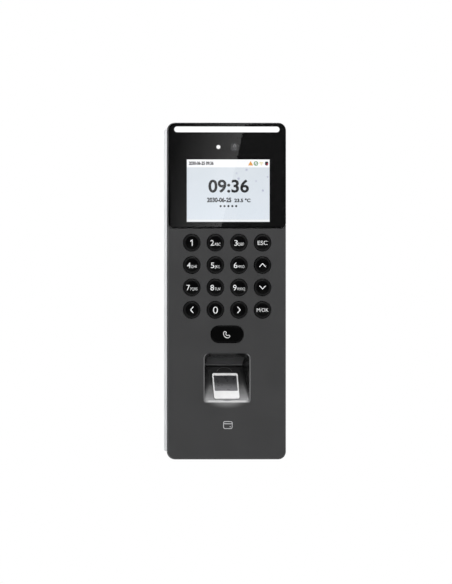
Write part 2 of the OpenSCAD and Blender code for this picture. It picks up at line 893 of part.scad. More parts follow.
module finger_guide() {
    color(glossy_black) difference() {
        union() {
            pit(guide_wall, lip_depth);
            slab(front_wall, front_wall + flange_t) at(0, recess_mid)
                rounded(recess_w + 2 * flange_side, recess_span + 2 * flange_end, 2);
        }
        pit(0, recess_chamfer);
        fingertip_dish();
        on_slope() translate([0, 0, -5]) linear_extrude(10)
            rounded(sensor_w + 2 * fit, sensor_l + 2 * fit, 1.2);
        sensor_seat(fit);
        for (p = guide_screws) drill(p, clear_r, front_wall, front_wall + flange_t);
    }
}

module sensor_frame() {
    color(silver) on_slope() translate([0, 0, -seat_t]) linear_extrude(seat_t + sensor_proud) difference() {
        rounded(sensor_w, sensor_l, 1.1);
        translate([0, window_v]) rounded(sensor_w - 2 * frame_side, window_l, 0.7);
    }
}

module sensor_window() {
    color("#2b2c30") on_slope() translate([0, window_v, -seat_t]) linear_extrude(seat_t + sensor_proud - 0.25)
        rounded(sensor_w - 2 * frame_side - 0.1, window_l - 0.1, 0.65);
}

module sensor_block() {
    color("#26272a") on_slope() translate([0, 0, -seat_t - block_t]) linear_extrude(block_t)
        square([block_w, block_l], center = true);
}

module sensor_board() {
    color(board_green) on_slope() translate([0, sensor_board_v, -seat_t - block_t - sensor_board_t])
        linear_extrude(sensor_board_t) square([block_w, sensor_board_l], center = true);
}

// Runs up behind the recess from the sensor board to the main board
module sensor_ribbon() {
    ribbon_w = 7;
    ribbon_t = 0.3;
    low = -seat_t - block_t - sensor_board_t;
    hold = block_l / 2 - 6;
    bend = block_l / 2 - 1;
    lift = 0.25;
    path = [
        [slope_drop(hold, low), slope_depth(hold, low) + lift],
        [slope_drop(bend, low), slope_depth(bend, low) + lift],
        [slope_drop(block_l / 2, low) - 3, lower_back - 0.9],
        [deep_top - 4, lower_back - 0.9],
        [cavity_split + 0.8, upper_back - 0.9],
        [recess_top - 6, main_back + 1.6],
        [main_bottom - 6, main_back + 1.2]
    ];
    color("#c98a3a") translate([-ribbon_w / 2, back(0), up(0)]) rotate([90, 0, 90]) linear_extrude(ribbon_w)
        polygon(concat([for (p = path) [p[1], -p[0]]], reversed([for (p = path) [p[1] + ribbon_t, -p[0]]])));
}

module antenna_board() {
    color(board_green) difference() {
        slab(antenna_depth, antenna_back)
            at(0, (antenna_top + antenna_bottom) / 2) rounded(antenna_w, antenna_bottom - antenna_top, 1.5);
        for (p = antenna_screws) drill(p, clear_r, antenna_depth, antenna_back);
    }
}

// Corners of one track that winds inward
function coil_corner(i) =
    let (turn = floor(i / 4), k = i % 4, shift = k == 3 ? turn + 1 : turn)
    let (x = coil_w / 2 - shift * coil_pitch, z = coil_h / 2 - turn * coil_pitch)
    [k % 3 == 0 ? -x : x, k < 2 ? z : -z];

module antenna_coil() {
    mid = (antenna_top + antenna_bottom) / 2;
    color(copper) slab(antenna_back, antenna_back + coil_t) at(0, mid) for (i = [0:4 * coil_turns - 2]) {
        a = coil_corner(i);
        b = coil_corner(i + 1);
        low = [min(a[0], b[0]), min(a[1], b[1])];
        translate(low - [coil_track, coil_track] / 2)
            square([abs(a[0] - b[0]) + coil_track, abs(a[1] - b[1]) + coil_track]);
    }
}

module speaker() {
    color("#2c2d30") difference() {
        post([speaker_x, speaker_drop], speaker_r, lower_back - speaker_t, lower_back);
        cone(
            [speaker_x, speaker_drop], speaker_hub_r, speaker_r - speaker_rim,
            lower_back - speaker_dish, lower_back + sliver
        );
    }
}

module microphone() {
    color("#8d9094") translate([mic_x, back(mic_depth), up(cavity_bottom)]) cylinder(r = mic_r, h = mic_t);
}

module tamper_switch() {
    color("#242528") difference() {
        centred(0, tamper_drop, tamper_switch_w, tamper_switch_w, main_back, main_back + tamper_switch_t);
        post([0, tamper_drop], tamper_bore, tamper_floor, main_back + tamper_switch_t + over);
    }
}

module tamper_plunger() {
    color("#c43a2e") post([0, tamper_drop], tamper_r, tamper_floor + tamper_travel + 0.1, plate_depth);
}

module screw(place, seat, shank) {
    post(place, head_r, seat, seat + head_h);
    post(place, screw_r, seat - shank, seat + sliver);
}

module board_screws() {
    color(silver) {
        for (p = bracket_screws) screw(p, bracket_back, 2);
        for (p = pad_screws) screw(p, pad_board_back, 3.4);
        for (x = [-1, 1]) screw([x * eye_screw_x, eye_drop], eye_board_back, 3.2);
        for (p = antenna_screws) screw(p, antenna_back, 2.8);
        for (p = guide_screws) screw(p, front_wall + flange_t, 2.6);
    }
}

module main_board_screws() {
    color(silver) for (p = main_screws) {
        post(p, head_r, main_depth - head_h, main_depth);
        post(p, screw_r, main_depth - sliver, main_back + main_screw_l);
    }
}

module case_screws() {
    case_back = case_seat + case_head_h;
    color(silver) for (x = [-1, 1], y = case_drops) difference() {
        union() {
            post([x * case_x, y], case_head_r, case_seat, case_back);
            post([x * case_x, y], case_screw_r, front_wall + 0.2, case_seat + sliver);
        }
        post([x * case_x, y], case_drive_r, case_back - case_drive_d, case_back + 1);
    }
}

module rear_block() {
    steps = 4;
    hull() {
        slab(front_d, rear_d - rear_edge_r) rear_outline(0);
        for (i = [1:steps]) {
            turn = 90 * i / steps;
            level = rear_d - rear_edge_r * (1 - sin(turn));
            slab(level - sliver, level) rear_outline(rear_edge_r * (1 - cos(turn)));
        }
    }
}

module rear_cavity() {
    inner_w = rear_w - 2 * side_wall;
    block([-inner_w / 2, inner_w / 2], [cavity_top, cavity_split + sliver], [front_d - 1, upper_back]);
    block([-inner_w / 2, inner_w / 2], [cavity_split, cavity_bottom], [front_d - 1, lower_back]);
}

module seal_ring() {
    difference() {
        rear_outline(0.5);
        rear_outline(1.5);
    }
}

module grille_slots() {
    for (i = [-2:2]) {
        shift = i * grille_pitch;
        half = sqrt(pow(grille_r, 2) - pow(shift, 2));
        slab(lower_back - over, body_d)
            at(speaker_x, speaker_drop + shift) rounded(2 * half, grille_slot, 0.7);
    }
}

module rear_housing() {
    pilot = screw_r + screw_fit;
    tongue_side = tongue_w / 2 + 0.4;
    color(light_grey) difference() {
        union() {
            difference() {
                rear_block();
                rear_cavity();
            }
            for (x = [-1, 1], y = case_drops) post([x * case_x, y], case_post_r, front_d, lower_back + 1);
            for (p = main_screws) post(p, main_post_r, main_back, upper_back + over);
            translate([0, back(lock_depth), up(cavity_bottom + 0.5)])
                cylinder(r = lock_boss_r, h = lock_boss_l);
        }
        slab(front_d - sliver, front_d + seal_t) seal_ring();
        slab(plate_pocket, body_d + over) at(0, origin_drop)
            rounded(plate_w + 2 * plate_room, plate_h + 2 * plate_room, 2.6);
        block([-tongue_side, tongue_side], [plate_end - 1, rear_bottom + 1], [tongue_pocket, body_d + 1]);
        slab(upper_back - 1, plate_pocket + 1) at(0, origin_drop) rounded(wiring_w, wiring_h, 1.5);
        for (x = [-1, 1]) block([x * hook_x - hook_w / 2 - 0.6, x * hook_x + hook_w / 2 + 0.6],
            [hook_drop, hook_drop + plate_t + hook_lip + 0.8], [upper_back - 1, plate_pocket + 1]);
        post([0, tamper_drop], tamper_r + 0.8, upper_back - 1, plate_pocket + 1);
        for (x = [-1, 1], y = case_drops) {
            post([x * case_x, y], case_screw_r + 0.3, front_d - 1, case_seat + 1);
            post([x * case_x, y], case_head_r + 0.3, case_seat, body_d + 1);
        }
        for (p = main_screws) post(p, pilot, main_back - 1, main_back + main_screw_l + 0.6);
        translate([0, back(lock_depth), up(rear_bottom + 1)]) cylinder(r = lock_r + screw_fit, h = 7.5);
        translate([mic_x, back(mic_depth), up(rear_bottom + over)]) cylinder(r = mic_hole_r, h = 4);
        grille_slots();
    }
}

module housing_seal() {
    color("#3a3b3d") slab(front_d, front_d + seal_t) seal_ring();
}

module wall_bracket() {
    tab_top = rear_bottom + tab_gap;
    tab_end = tab_top + plate_t;
    color("#b9bdc1") difference() {
        union() {
            slab(plate_depth, body_d) at(0, origin_drop) rounded(plate_w, plate_h, 2);
            block([-tongue_w / 2, tongue_w / 2], [plate_end - 3, tab_end], [plate_depth, body_d]);
            block([-tongue_w / 2, tongue_w / 2], [tab_top, tab_end], [body_d - tab_reach, body_d]);
            for (x = [-1, 1]) {
                span = [x * hook_x - hook_w / 2, x * hook_x + hook_w / 2];
                block(span, [hook_drop, hook_drop + plate_t], [hook_depth, plate_depth + sliver]);
                block(span, [hook_drop - hook_lip, hook_drop + plate_t], [hook_depth, hook_depth + plate_t]);
            }
        }
        slab(plate_depth - 1, body_d + 1) at(0, origin_drop) rounded(wiring_w + 3, wiring_h + 3, 2);
        for (x = [-1, 1]) block([x * hook_x - hook_w / 2 - 0.5, x * hook_x + hook_w / 2 + 0.5],
            [hook_drop + plate_t, hook_drop + plate_t + 6], [plate_depth - 1, body_d + 1]);
        for (x = [-0.5, 0.5], z = [-0.5, 0.5])
            drill([x * hole_span_x, origin_drop + z * hole_span_z], hole_dia / 2, plate_depth, body_d);
        translate([0, back(lock_depth), up(tab_end + 1)]) cylinder(r = lock_r + 0.3, h = plate_t + 2);
    }
}

module locking_screw() {
    tab_end = rear_bottom + tab_gap + plate_t;
    color(silver) translate([0, back(lock_depth), up(tab_end + lock_head_h)]) difference() {
        union() {
            cylinder(r = lock_head_r, h = lock_head_h);
            cylinder(r = lock_r, h = lock_head_h + plate_t + tab_gap + 6.5);
        }
        translate([0, 0, -1]) cylinder(r = 1.2, h = 2);
    }
}

front_housing();
rear_housing();
housing_seal();
lens_panel();
lens_adhesive();
light_bar_diffuser();
light_bar_board();
light_bar_chips();
display_panel();
display_backlight();
display_bracket();
display_ribbon();
camera_barrel();
camera_glass();
camera_holder();
camera_board();
fill_light_pipe();
fill_light_chip();
for (r = [0:3], c = [0:3]) round_key(c, r);
call_key();
keypad_mat();
keypad_board();
board_connector();
main_board();
main_board_chips();
clock_cell();
wiring_headers();
header_pins();
finger_guide();
sensor_frame();
sensor_window();
sensor_block();
sensor_board();
sensor_ribbon();
antenna_board();
antenna_coil();
speaker();
microphone();
tamper_switch();
tamper_plunger();
board_screws();
main_board_screws();
case_screws();
wall_bracket();
locking_screw();
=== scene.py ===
import math

import bmesh
import bpy
from mathutils import Matrix, Vector


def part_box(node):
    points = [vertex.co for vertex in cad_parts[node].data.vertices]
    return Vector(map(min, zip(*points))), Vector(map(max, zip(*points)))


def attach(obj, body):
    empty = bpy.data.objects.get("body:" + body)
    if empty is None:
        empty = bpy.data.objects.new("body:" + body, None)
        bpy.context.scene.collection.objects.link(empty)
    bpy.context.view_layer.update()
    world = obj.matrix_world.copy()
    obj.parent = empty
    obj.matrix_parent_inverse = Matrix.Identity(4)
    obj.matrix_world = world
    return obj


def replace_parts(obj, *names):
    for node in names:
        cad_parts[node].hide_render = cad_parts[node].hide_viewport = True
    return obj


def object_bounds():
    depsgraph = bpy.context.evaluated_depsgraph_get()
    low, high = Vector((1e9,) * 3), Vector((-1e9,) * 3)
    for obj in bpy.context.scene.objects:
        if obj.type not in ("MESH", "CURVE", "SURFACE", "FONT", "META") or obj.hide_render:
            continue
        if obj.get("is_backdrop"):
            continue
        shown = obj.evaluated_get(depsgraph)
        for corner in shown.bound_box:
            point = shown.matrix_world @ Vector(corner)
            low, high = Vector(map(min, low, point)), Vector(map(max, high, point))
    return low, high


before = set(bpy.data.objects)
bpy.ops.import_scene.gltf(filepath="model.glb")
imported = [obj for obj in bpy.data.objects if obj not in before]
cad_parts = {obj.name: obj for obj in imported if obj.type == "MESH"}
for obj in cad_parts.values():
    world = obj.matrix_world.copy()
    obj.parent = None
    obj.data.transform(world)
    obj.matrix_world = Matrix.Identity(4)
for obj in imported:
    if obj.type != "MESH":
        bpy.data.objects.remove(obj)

cadBox = [[float(c) for c in corner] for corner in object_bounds()]
scene = bpy.context.scene
scene.view_settings.view_transform = "Standard"
for left in ("Cube", "Light", "Camera"):
    if left in bpy.data.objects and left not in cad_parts:
        bpy.data.objects.remove(bpy.data.objects[left])

mm = 0.001
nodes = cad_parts
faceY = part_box("front_housing")[0].y  # the flat front
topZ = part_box("front_housing")[1].z


def spot(x, drop, depth):  # front view, in mm: across, down from the top edge, back from the face
    return Vector((x * mm, faceY + depth * mm, topZ - drop * mm))


def middle(box):
    low, high = box
    return (low + high) / 2


def rgba(color, share=1.0):
    return (*(c * share for c in color), 1.0)


def linear(*levels):  # screen colour 0-255 to scene colour
    shares = [level / 255 for level in levels]
    return rgba([c / 12.92 if c <= 0.04045 else ((c + 0.055) / 1.055) ** 2.4 for c in shares])


# node helpers, for shaders and geometry alike
def wire(tree, value, socket):
    if isinstance(value, bpy.types.NodeSocket):
        tree.links.new(value, socket)
    elif value is not None:
        socket.default_value = value


def fill(tree, node, **inputs):  # sockets by name, each with a link or a value
    for label, value in inputs.items():
        wire(tree, value, node.inputs[label.replace("_", " ")])


def step(tree, kind, **inputs):  # adds a node and gives its first output
    node = tree.nodes.new(kind)
    fill(tree, node, **inputs)
    return node.outputs[0]


def sums(tree, operation, a, b=None):
    node = tree.nodes.new("ShaderNodeMath")
    node.operation = operation
    wire(tree, a, node.inputs[0])
    wire(tree, b, node.inputs[1])
    return node.outputs[0]


def times(tree, product, *others):
    for other in others:
        product = sums(tree, "MULTIPLY", product, other)
    return product


def absolute(tree, value):
    return sums(tree, "ABSOLUTE", value)


def vectorSum(tree, operation, a, b):
    node = tree.nodes.new("ShaderNodeVectorMath")
    node.operation = operation
    wire(tree, a, node.inputs[0])
    wire(tree, b, node.inputs[1])
    return node.outputs["Value"]


def split(tree, vector):  # x, y and z
    node = tree.nodes.new("ShaderNodeSeparateXYZ")
    tree.links.new(vector, node.inputs[0])
    return node.outputs


def gather(tree, x=0.0, y=0.0, z=0.0):
    return step(tree, "ShaderNodeCombineXYZ", X=x, Y=y, Z=z)


def ramp(tree, value, low, high, outLow=0.0, outHigh=1.0, smooth=False):
    node = tree.nodes.new("ShaderNodeMapRange")
    node.interpolation_type = "SMOOTHSTEP" if smooth else "LINEAR"
    for socket, v in zip(node.inputs, (value, low, high, outLow, outHigh)):
        wire(tree, v, socket)
    return node.outputs[0]


def blendColor(tree, factor, a, b, mode="MIX"):
    node = tree.nodes.new("ShaderNodeMix")
    node.data_type = "RGBA"
    node.blend_type = mode
    for socket, value in ((0, factor), (6, a), (7, b)):
        wire(tree, value, node.inputs[socket])
    return node.outputs[2]


def coords(tree, scale=(1, 1, 1), shift=(0, 0, 0)):
    where = tree.nodes.new("ShaderNodeTexCoord").outputs["Object"]
    return step(tree, "ShaderNodeMapping", Vector=where, Location=shift, Scale=scale)


def surface(tree, kind):
    return tree.nodes.new("ShaderNodeNewGeometry").outputs[kind]


def noise(tree, vector, scale, detail=3.0, rough=0.5):
    return step(tree, "ShaderNodeTexNoise", Vector=vector, Scale=scale, Detail=detail, Roughness=rough)


def cells(tree, vector, scale, feature="F1", metric="EUCLIDEAN", out="Distance"):
    node = tree.nodes.new("ShaderNodeTexVoronoi")
    node.feature = feature
    if feature != "DISTANCE_TO_EDGE":
        node.distance = metric
    fill(tree, node, Vector=vector, Scale=scale)
    return node.outputs[out]


def newFinish(name):
    material = bpy.data.materials.new(name)
    material.use_nodes = True
    return material, material.node_tree, material.node_tree.nodes["Principled BSDF"]


def bump(tree, shader, height, distance, under=None):
    pressed = step(tree, "ShaderNodeBump", Strength=1.0, Distance=distance, Height=height, Normal=under)
    tree.links.new(pressed, shader.inputs["Normal"])


def softEdge(tree, radius):  # rounds the hard edges in the shading
    normal = step(tree, "ShaderNodeBevel", Radius=radius)
    normal.node.samples = 4
    return normal


def edgeWear(tree, radius):  # 1 on the hard edges, 0 on the flats
    turn = vectorSum(tree, "DOT_PRODUCT", softEdge(tree, radius), surface(tree, "Normal"))
    return ramp(tree, turn, 0.995, 0.75)


# moulded: grain, cloudy tone, uneven gloss, lighter edges
def mouldedFinish(name, base, rough, grain, depth, tone=0.08, specular=0.5, edge=0.00018, wear=0.12):
    material, tree, shader = newFinish(name)
    place = coords(tree)
    cloud = noise(tree, place, 55, 4)
    speck = noise(tree, place, 1 / grain, 2, 0.6)
    light = rgba(base, 1 + tone)
    worn = rgba([c + wear * (0.25 - 0.2 * c) for c in base])
    body = blendColor(tree, ramp(tree, cloud, 0.3, 0.7), rgba(base, 1 - tone), light)
    body = blendColor(tree, ramp(tree, speck, 0.25, 0.75, 0, 0.25), body, light)
    color = blendColor(tree, times(tree, edgeWear(tree, edge), 0.5), body, worn)
    gloss = ramp(tree, cloud, 0.3, 0.7, *rough)
    gloss = sums(tree, "ADD", gloss, ramp(tree, speck, 0.2, 0.8, -0.03, 0.03))
    fill(tree, shader, Base_Color=color, Roughness=gloss, Specular_IOR_Level=specular)
    bump(tree, shader, speck, depth, softEdge(tree, edge))
    return material


# metal: lines along an axis, tarnish clouds
def metalFinish(name, base, rough, stretch, lines, depth, spangle=0.0, metal=1.0):
    material, tree, shader = newFinish(name)
    streak = noise(tree, coords(tree, stretch), lines, 3)
    cloud = noise(tree, coords(tree), 90, 3)
    color = blendColor(tree, ramp(tree, cloud, 0.3, 0.7), rgba(base, 0.86), rgba(base, 1.06))
    if spangle:
        parts = tree.nodes.new("ShaderNodeSeparateColor")
        tree.links.new(cells(tree, coords(tree), 420, out="Color"), parts.inputs[0])
        color = blendColor(tree, spangle, color, parts.outputs[0], "SOFT_LIGHT")
    gloss = ramp(tree, streak, 0.25, 0.75, *rough)
    gloss = sums(tree, "ADD", gloss, ramp(tree, cloud, 0.3, 0.7, -0.04, 0.04))
    fill(tree, shader, Base_Color=color, Roughness=gloss, Metallic=metal)
    bump(tree, shader, streak, depth, softEdge(tree, 0.00012))
    return material


# circuit board: copper runs under the lacquer
def boardFinish(name, base, track):
    material, tree, shader = newFinish(name)
    place = coords(tree)
    pour = cells(tree, place, 260, metric="CHEBYCHEV")
    runs = cells(tree, coords(tree, (1, 1, 0.25)), 900, "DISTANCE_TO_EDGE")
    copper = sums(tree, "MAXIMUM", ramp(tree, pour, 0.42, 0.45), ramp(tree, runs, 0.16, 0.12))
    fill(tree, shader, Base_Color=blendColor(tree, copper, rgba(base), rgba(track)),
         Roughness=ramp(tree, noise(tree, place, 700), 0.3, 0.7, 0.26, 0.4))
    bump(tree, shader, copper, 0.00003)
    return material


# coated glass, a little smeared
def coatedFinish(name, base, rough, scale):
    material, tree, shader = newFinish(name)
    smear = noise(tree, coords(tree), scale, 4)
    color = blendColor(tree, ramp(tree, smear, 0.3, 0.7), rgba(base, 0.8), rgba(base))
    fill(tree, shader, Base_Color=color, Roughness=ramp(tree, smear, 0.3, 0.7, *rough),
         Coat_Weight=0.12, Coat_Roughness=0.2)
    return material


# lit faces: a fine dot grid over an even glow
unlit = {"Base_Color": (0.01, 0.01, 0.01, 1), "Specular_IOR_Level": 0.0}


def litFinish(name, color, strength, cell=0.000153, grid=0.12):
    material, tree, shader = newFinish(name)
    place = split(tree, tree.nodes.new("ShaderNodeTexCoord").outputs["Object"])
    lines = []
    for axis in (0, 2):
        share = sums(tree, "FRACT", sums(tree, "DIVIDE", place[axis], cell))
        lines.append(ramp(tree, absolute(tree, sums(tree, "SUBTRACT", share, 0.5)), 0.4, 0.48))
    mask = sums(tree, "MAXIMUM", *lines)
    level = ramp(tree, mask, 0, 1, strength * (1 + grid * 0.35), strength * (1 - grid))
    fill(tree, shader, Emission_Strength=level, Emission_Color=color, **unlit)
    return material


# finishes, named for the slots of the record
lensGlow = 1.42  # what the smoked pane takes away
finishes = {
    "dark_plastic": mouldedFinish("housingGrey", (0.0326, 0.0328, 0.0335), (0.46, 0.54), 0.00022, 0.000007,
                                  tone=0.05, specular=0.3, edge=0.0003, wear=0.04),
    "light_plastic": mouldedFinish("rearGrey", (0.68, 0.69, 0.7), (0.45, 0.55), 0.00026, 0.000008,
                                   tone=0.03, specular=0.15, edge=0.0003, wear=0.2),
    "black_plastic": mouldedFinish("innerBlack", (0.012, 0.012, 0.013), (0.4, 0.55), 0.0003, 0.00001),
    "gloss_black": mouldedFinish("guideBlack", (0.018, 0.0181, 0.0185), (0.2, 0.26), 0.00018, 0.000004,
                                 tone=0.1, specular=0.4, edge=0.0002, wear=0.0),
    "key_black": mouldedFinish("keyBlack", (0.0016, 0.0016, 0.0017), (0.22, 0.28), 0.0006, 0.0000025,
                               tone=0.15, specular=0.07, edge=0.00012, wear=0.02),
    "white_plastic": mouldedFinish("nylonCream", (0.74, 0.72, 0.65), (0.4, 0.5), 0.0004, 0.000008, tone=0.04),
    "seal_rubber": mouldedFinish("sealRubber", (0.035, 0.035, 0.036), (0.7, 0.85), 0.0003, 0.00002),
    "mat_rubber": mouldedFinish("matRubber", (0.16, 0.17, 0.18), (0.6, 0.75), 0.0003, 0.00001),
    "black_film": mouldedFinish("lensInk", (0.0035, 0.0035, 0.0037), (0.35, 0.45), 0.0004, 0.000002,
                                tone=0.1, specular=0.03, edge=0.0001, wear=0.0),
    "ribbon": mouldedFinish("ribbonAmber", (0.52, 0.24, 0.05), (0.25, 0.35), 0.0006, 0.000004),
    "red_plastic": mouldedFinish("plungerRed", (0.5, 0.035, 0.028), (0.35, 0.45), 0.0003, 0.000006),
    "light_chip": mouldedFinish("chipYellow", (0.8, 0.68, 0.28), (0.2, 0.3), 0.0004, 0.000004),
    "steel": metalFinish("screwNickel", (0.56, 0.57, 0.58), (0.2, 0.34), (1, 0.15, 1), 1800, 0.000004),
    "bracket_steel": metalFinish("bracketZinc", (0.46, 0.475, 0.495), (0.32, 0.46), (1, 1, 0.12), 900, 0.000005,
                                 spangle=0.3),
    "sensor_metal": metalFinish("sensorPlate", (0.92, 0.92, 0.92), (0.42, 0.52), (0.06, 1, 1), 2600, 0.0000015,
                                metal=0.1),
    "brass_pin": metalFinish("pinGold", (0.75, 0.55, 0.2), (0.15, 0.25), (1, 0.1, 1), 3000, 0.000002),
    "copper": metalFinish("coilCopper", (0.62, 0.28, 0.13), (0.25, 0.35), (1, 1, 1), 2000, 0.000003),
    "circuit_board": boardFinish("boardGreen", (0.008, 0.07, 0.03), (0.022, 0.15, 0.06)),
    "display": coatedFinish("displayGlass", (0.03, 0.032, 0.036), (0.12, 0.2), 300),
    "camera_glass": coatedFinish("cameraLens", (0.026, 0.027, 0.03), (0.03, 0.06), 500),
    "sensor_glass": coatedFinish("sensorPrism", (0.02, 0.02, 0.023), (0.26, 0.32), 240),
    "white_diffuser": litFinish("lightBarGlow", (1, 1, 1, 1), 1.06 * lensGlow, 0.0007, 0.04),
}

# smoked pane with faint wipe marks; its cut edge is dark and matt, and its bonded back mirrors nothing
pane = {"tint": (0.74, 0.74, 0.75), "edge": (0.02, 0.02, 0.021), "wiped": (0.002, 0.012), "cut": 0.6, "mirror": 0.25}
finishes["lens"], tree, shader = newFinish("lensPane")
smear = noise(tree, coords(tree, (1, 1, 0.3)), 60, 4)
flat = ramp(tree, absolute(tree, split(tree, surface(tree, "Normal"))[1]), 0.9, 0.98)
wiped = ramp(tree, smear, 0.3, 0.75, *pane["wiped"])
fill(tree, shader, Base_Color=blendColor(tree, flat, rgba(pane["edge"]), rgba(pane["tint"])),
     Roughness=ramp(tree, flat, 0, 1, pane["cut"], wiped), Transmission_Weight=1.0, IOR=1.49,
     Specular_IOR_Level=pane["mirror"])

# the front below the recess is polished smoother by fingers and painted lighter there, a painted glow of the overhead
# light on the curved lip; its lower edge carries a painted highlight line, and the side faces of its mouth's rim a
# painted highlight
polishedGlow = {"drop": 163.2, "stretch": 0.34, "inner": 0.0014, "outer": 0.0044, "rough": 0.36, "tone": (0.13, 0.13, 0.131)}
lipHighlight = {"drop": 162.75, "fine": 0.0004, "broad": 0.0013, "middle": 0.0105, "end": 0.0138,
            "tone": (0.56, 0.56, 0.562)}
mouthRimHighlight = {"drop": 149.4, "across": 0.0155, "along": 0.0165, "tone": (0.2, 0.2, 0.203)}
tree = finishes["dark_plastic"].node_tree
shader = tree.nodes["Principled BSDF"]
away = vectorSum(tree, "DISTANCE", coords(tree, (polishedGlow["stretch"], 1, 1)), spot(0, polishedGlow["drop"], 0))
polishGlowMask = ramp(tree, away, polishedGlow["outer"], polishedGlow["inner"], smooth=True)
plainGloss = shader.inputs["Roughness"].links[0].from_socket
color = shader.inputs["Base Color"].links[0].from_socket
# painted glow: the base colour turns lighter inside the polished zone
color = blendColor(tree, polishGlowMask, color, rgba(polishedGlow["tone"]))
# painted highlight: a thin light line along the lip's top edge, where the overhead light catches it
x, y, z = split(tree, coords(tree, shift=-spot(0, lipHighlight["drop"], 0)))
line = times(tree, ramp(tree, absolute(tree, z), lipHighlight["broad"], lipHighlight["fine"]),
             ramp(tree, absolute(tree, x), lipHighlight["end"], lipHighlight["middle"]))
color = blendColor(tree, line, color, rgba(lipHighlight["tone"]))
# painted highlight: the side faces of the mouth's rim chamfer are painted lighter, where they catch the light
x, y, z = split(tree, coords(tree, shift=-spot(0, mouthRimHighlight["drop"], 0)))
worn = times(tree, sums(tree, "LESS_THAN", absolute(tree, x), mouthRimHighlight["across"]),
             sums(tree, "LESS_THAN", absolute(tree, z), mouthRimHighlight["along"]),
             ramp(tree, absolute(tree, split(tree, surface(tree, "True Normal"))[0]), 0.3, 0.6))
fill(tree, shader, Base_Color=blendColor(tree, worn, color, rgba(mouthRimHighlight["tone"])),
     Roughness=ramp(tree, polishGlowMask, 0, 1, plainGloss, polishedGlow["rough"]))


# tone of a finish down the front: drops in mm with a share of the base colour at each
def toneDown(slotName, stops, flatsOnly=False):
    tree = finishes[slotName].node_tree
    base = tree.nodes["Principled BSDF"].inputs["Base Color"]
    height = split(tree, coords(tree))[2]
    tone = stops[0][1]
    for (drop, share), (nextDrop, nextShare) in zip(stops, stops[1:]):
        leg = ramp(tree, height, spot(0, drop, 0).z, spot(0, nextDrop, 0).z, 1.0, nextShare / share)
        tone = times(tree, tone, leg)
    if flatsOnly:  # not on the side walls
        sideways = absolute(tree, split(tree, surface(tree, "True Normal"))[0])
        tone = ramp(tree, ramp(tree, sideways, 0.1, 0.35, 1.0, 0.0), 0, 1, 1.0, tone)
    plain = base.links[0].from_socket
    tree.links.new(blendColor(tree, 1.0, plain, gather(tree, tone, tone, tone), "MULTIPLY"), base)


# near the lip the sensor's frame is painted darker, painted shade that holds down the lamps' glare on its lower band;
# the prism and the guide's floor are painted lighter there, a painted glow of the light that reaches the lower recess
toneDown("sensor_metal", ((146.5, 1.0), (158.0, 0.82)))
# painted glow: the prism turns up to six times lighter towards the lip
toneDown("sensor_glass", ((152.5, 1.0), (160.0, 6.0)))
# painted glow: the guide's floor turns up to twelve and a half times paler towards the lip
toneDown("gloss_black", ((149.0, 1.0), (152.3, 1.15), (155.2, 1.75), (158.1, 4.2), (160.5, 8.6), (161.8, 12.5)))
# the guide's roof is painted far paler than its black, growing towards its back, so that though it faces down it shows
# as grey as the face: painted light; a dark seam runs at its back
roofPaintedLight = ((135.9, 0.35), (136.4, 0.86), (138.1, 3.4), (139.9, 5.3), (141.2, 5.5), (141.35, 6.9), (141.95, 6.9))
seamTone = ((142.2, 0.35), (142.5, 0.35), (143.3, 1.35), (147.0, 1.0))
toneDown("gloss_black", roofPaintedLight + seamTone, True)

# the fill light's pipe glows in its middle and stays dark at its moulded rim
pipe = {"core": 0.001, "rim": 0.00122, "glow": 1.0, "base": (0.012, 0.012, 0.012), "rough": 0.3}
pipeMid = middle(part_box("fill_light_pipe"))
finishes["light_pipe"], tree, shader = newFinish("pipeGlow")
away = vectorSum(tree, "DISTANCE", coords(tree, (1, 0, 1)), (pipeMid.x, 0, pipeMid.z))
fill(tree, shader, Emission_Strength=ramp(tree, away, pipe["rim"], pipe["core"], 0, pipe["glow"] * lensGlow),
     Emission_Color=(1, 1, 1, 1), Base_Color=rgba(pipe["base"]), Roughness=pipe["rough"])
print("finishes", len(finishes))

nodeFinish = {
    "dark_plastic": ["front_housing"],
    "light_plastic": ["rear_housing"],
    "seal_rubber": ["housing_seal"],
    "lens": ["lens_panel"],
    "black_film": ["lens_adhesive"],
    "white_diffuser": ["light_bar_diffuser"],
    "light_pipe": ["fill_light_pipe"],
    "circuit_board": ["light_bar_board", "camera_board", "keypad_board", "main_board", "sensor_board",
                      "antenna_board"],
    "light_chip": ["light_bar_chips", "fill_light_chip"],
    "display": ["display_panel"],
    "white_plastic": ["display_backlight", "board_connector", "wiring_headers"],
    "steel": ["display_bracket", "clock_cell", "microphone", "board_screws", "main_board_screws", "case_screws",
              "locking_screw"],
    "ribbon": ["display_ribbon", "sensor_ribbon"],
    "black_plastic": ["camera_barrel", "camera_holder", "main_board_chips", "sensor_block", "speaker",
                      "tamper_switch"],
    "camera_glass": ["camera_glass"],
    "mat_rubber": ["keypad_mat"],
    "brass_pin": ["header_pins"],
    "gloss_black": ["finger_guide"],
    "sensor_metal": ["sensor_frame"],
    "sensor_glass": ["sensor_window"],
    "copper": ["antenna_coil"],
    "red_plastic": ["tamper_plunger"],
    "bracket_steel": ["wall_bracket"],
    "key_black": ["call_key"],
}
for slotName, names in nodeFinish.items():
    for name in names:
        nodes[name].data.materials.clear()
        nodes[name].data.materials.append(finishes[slotName])


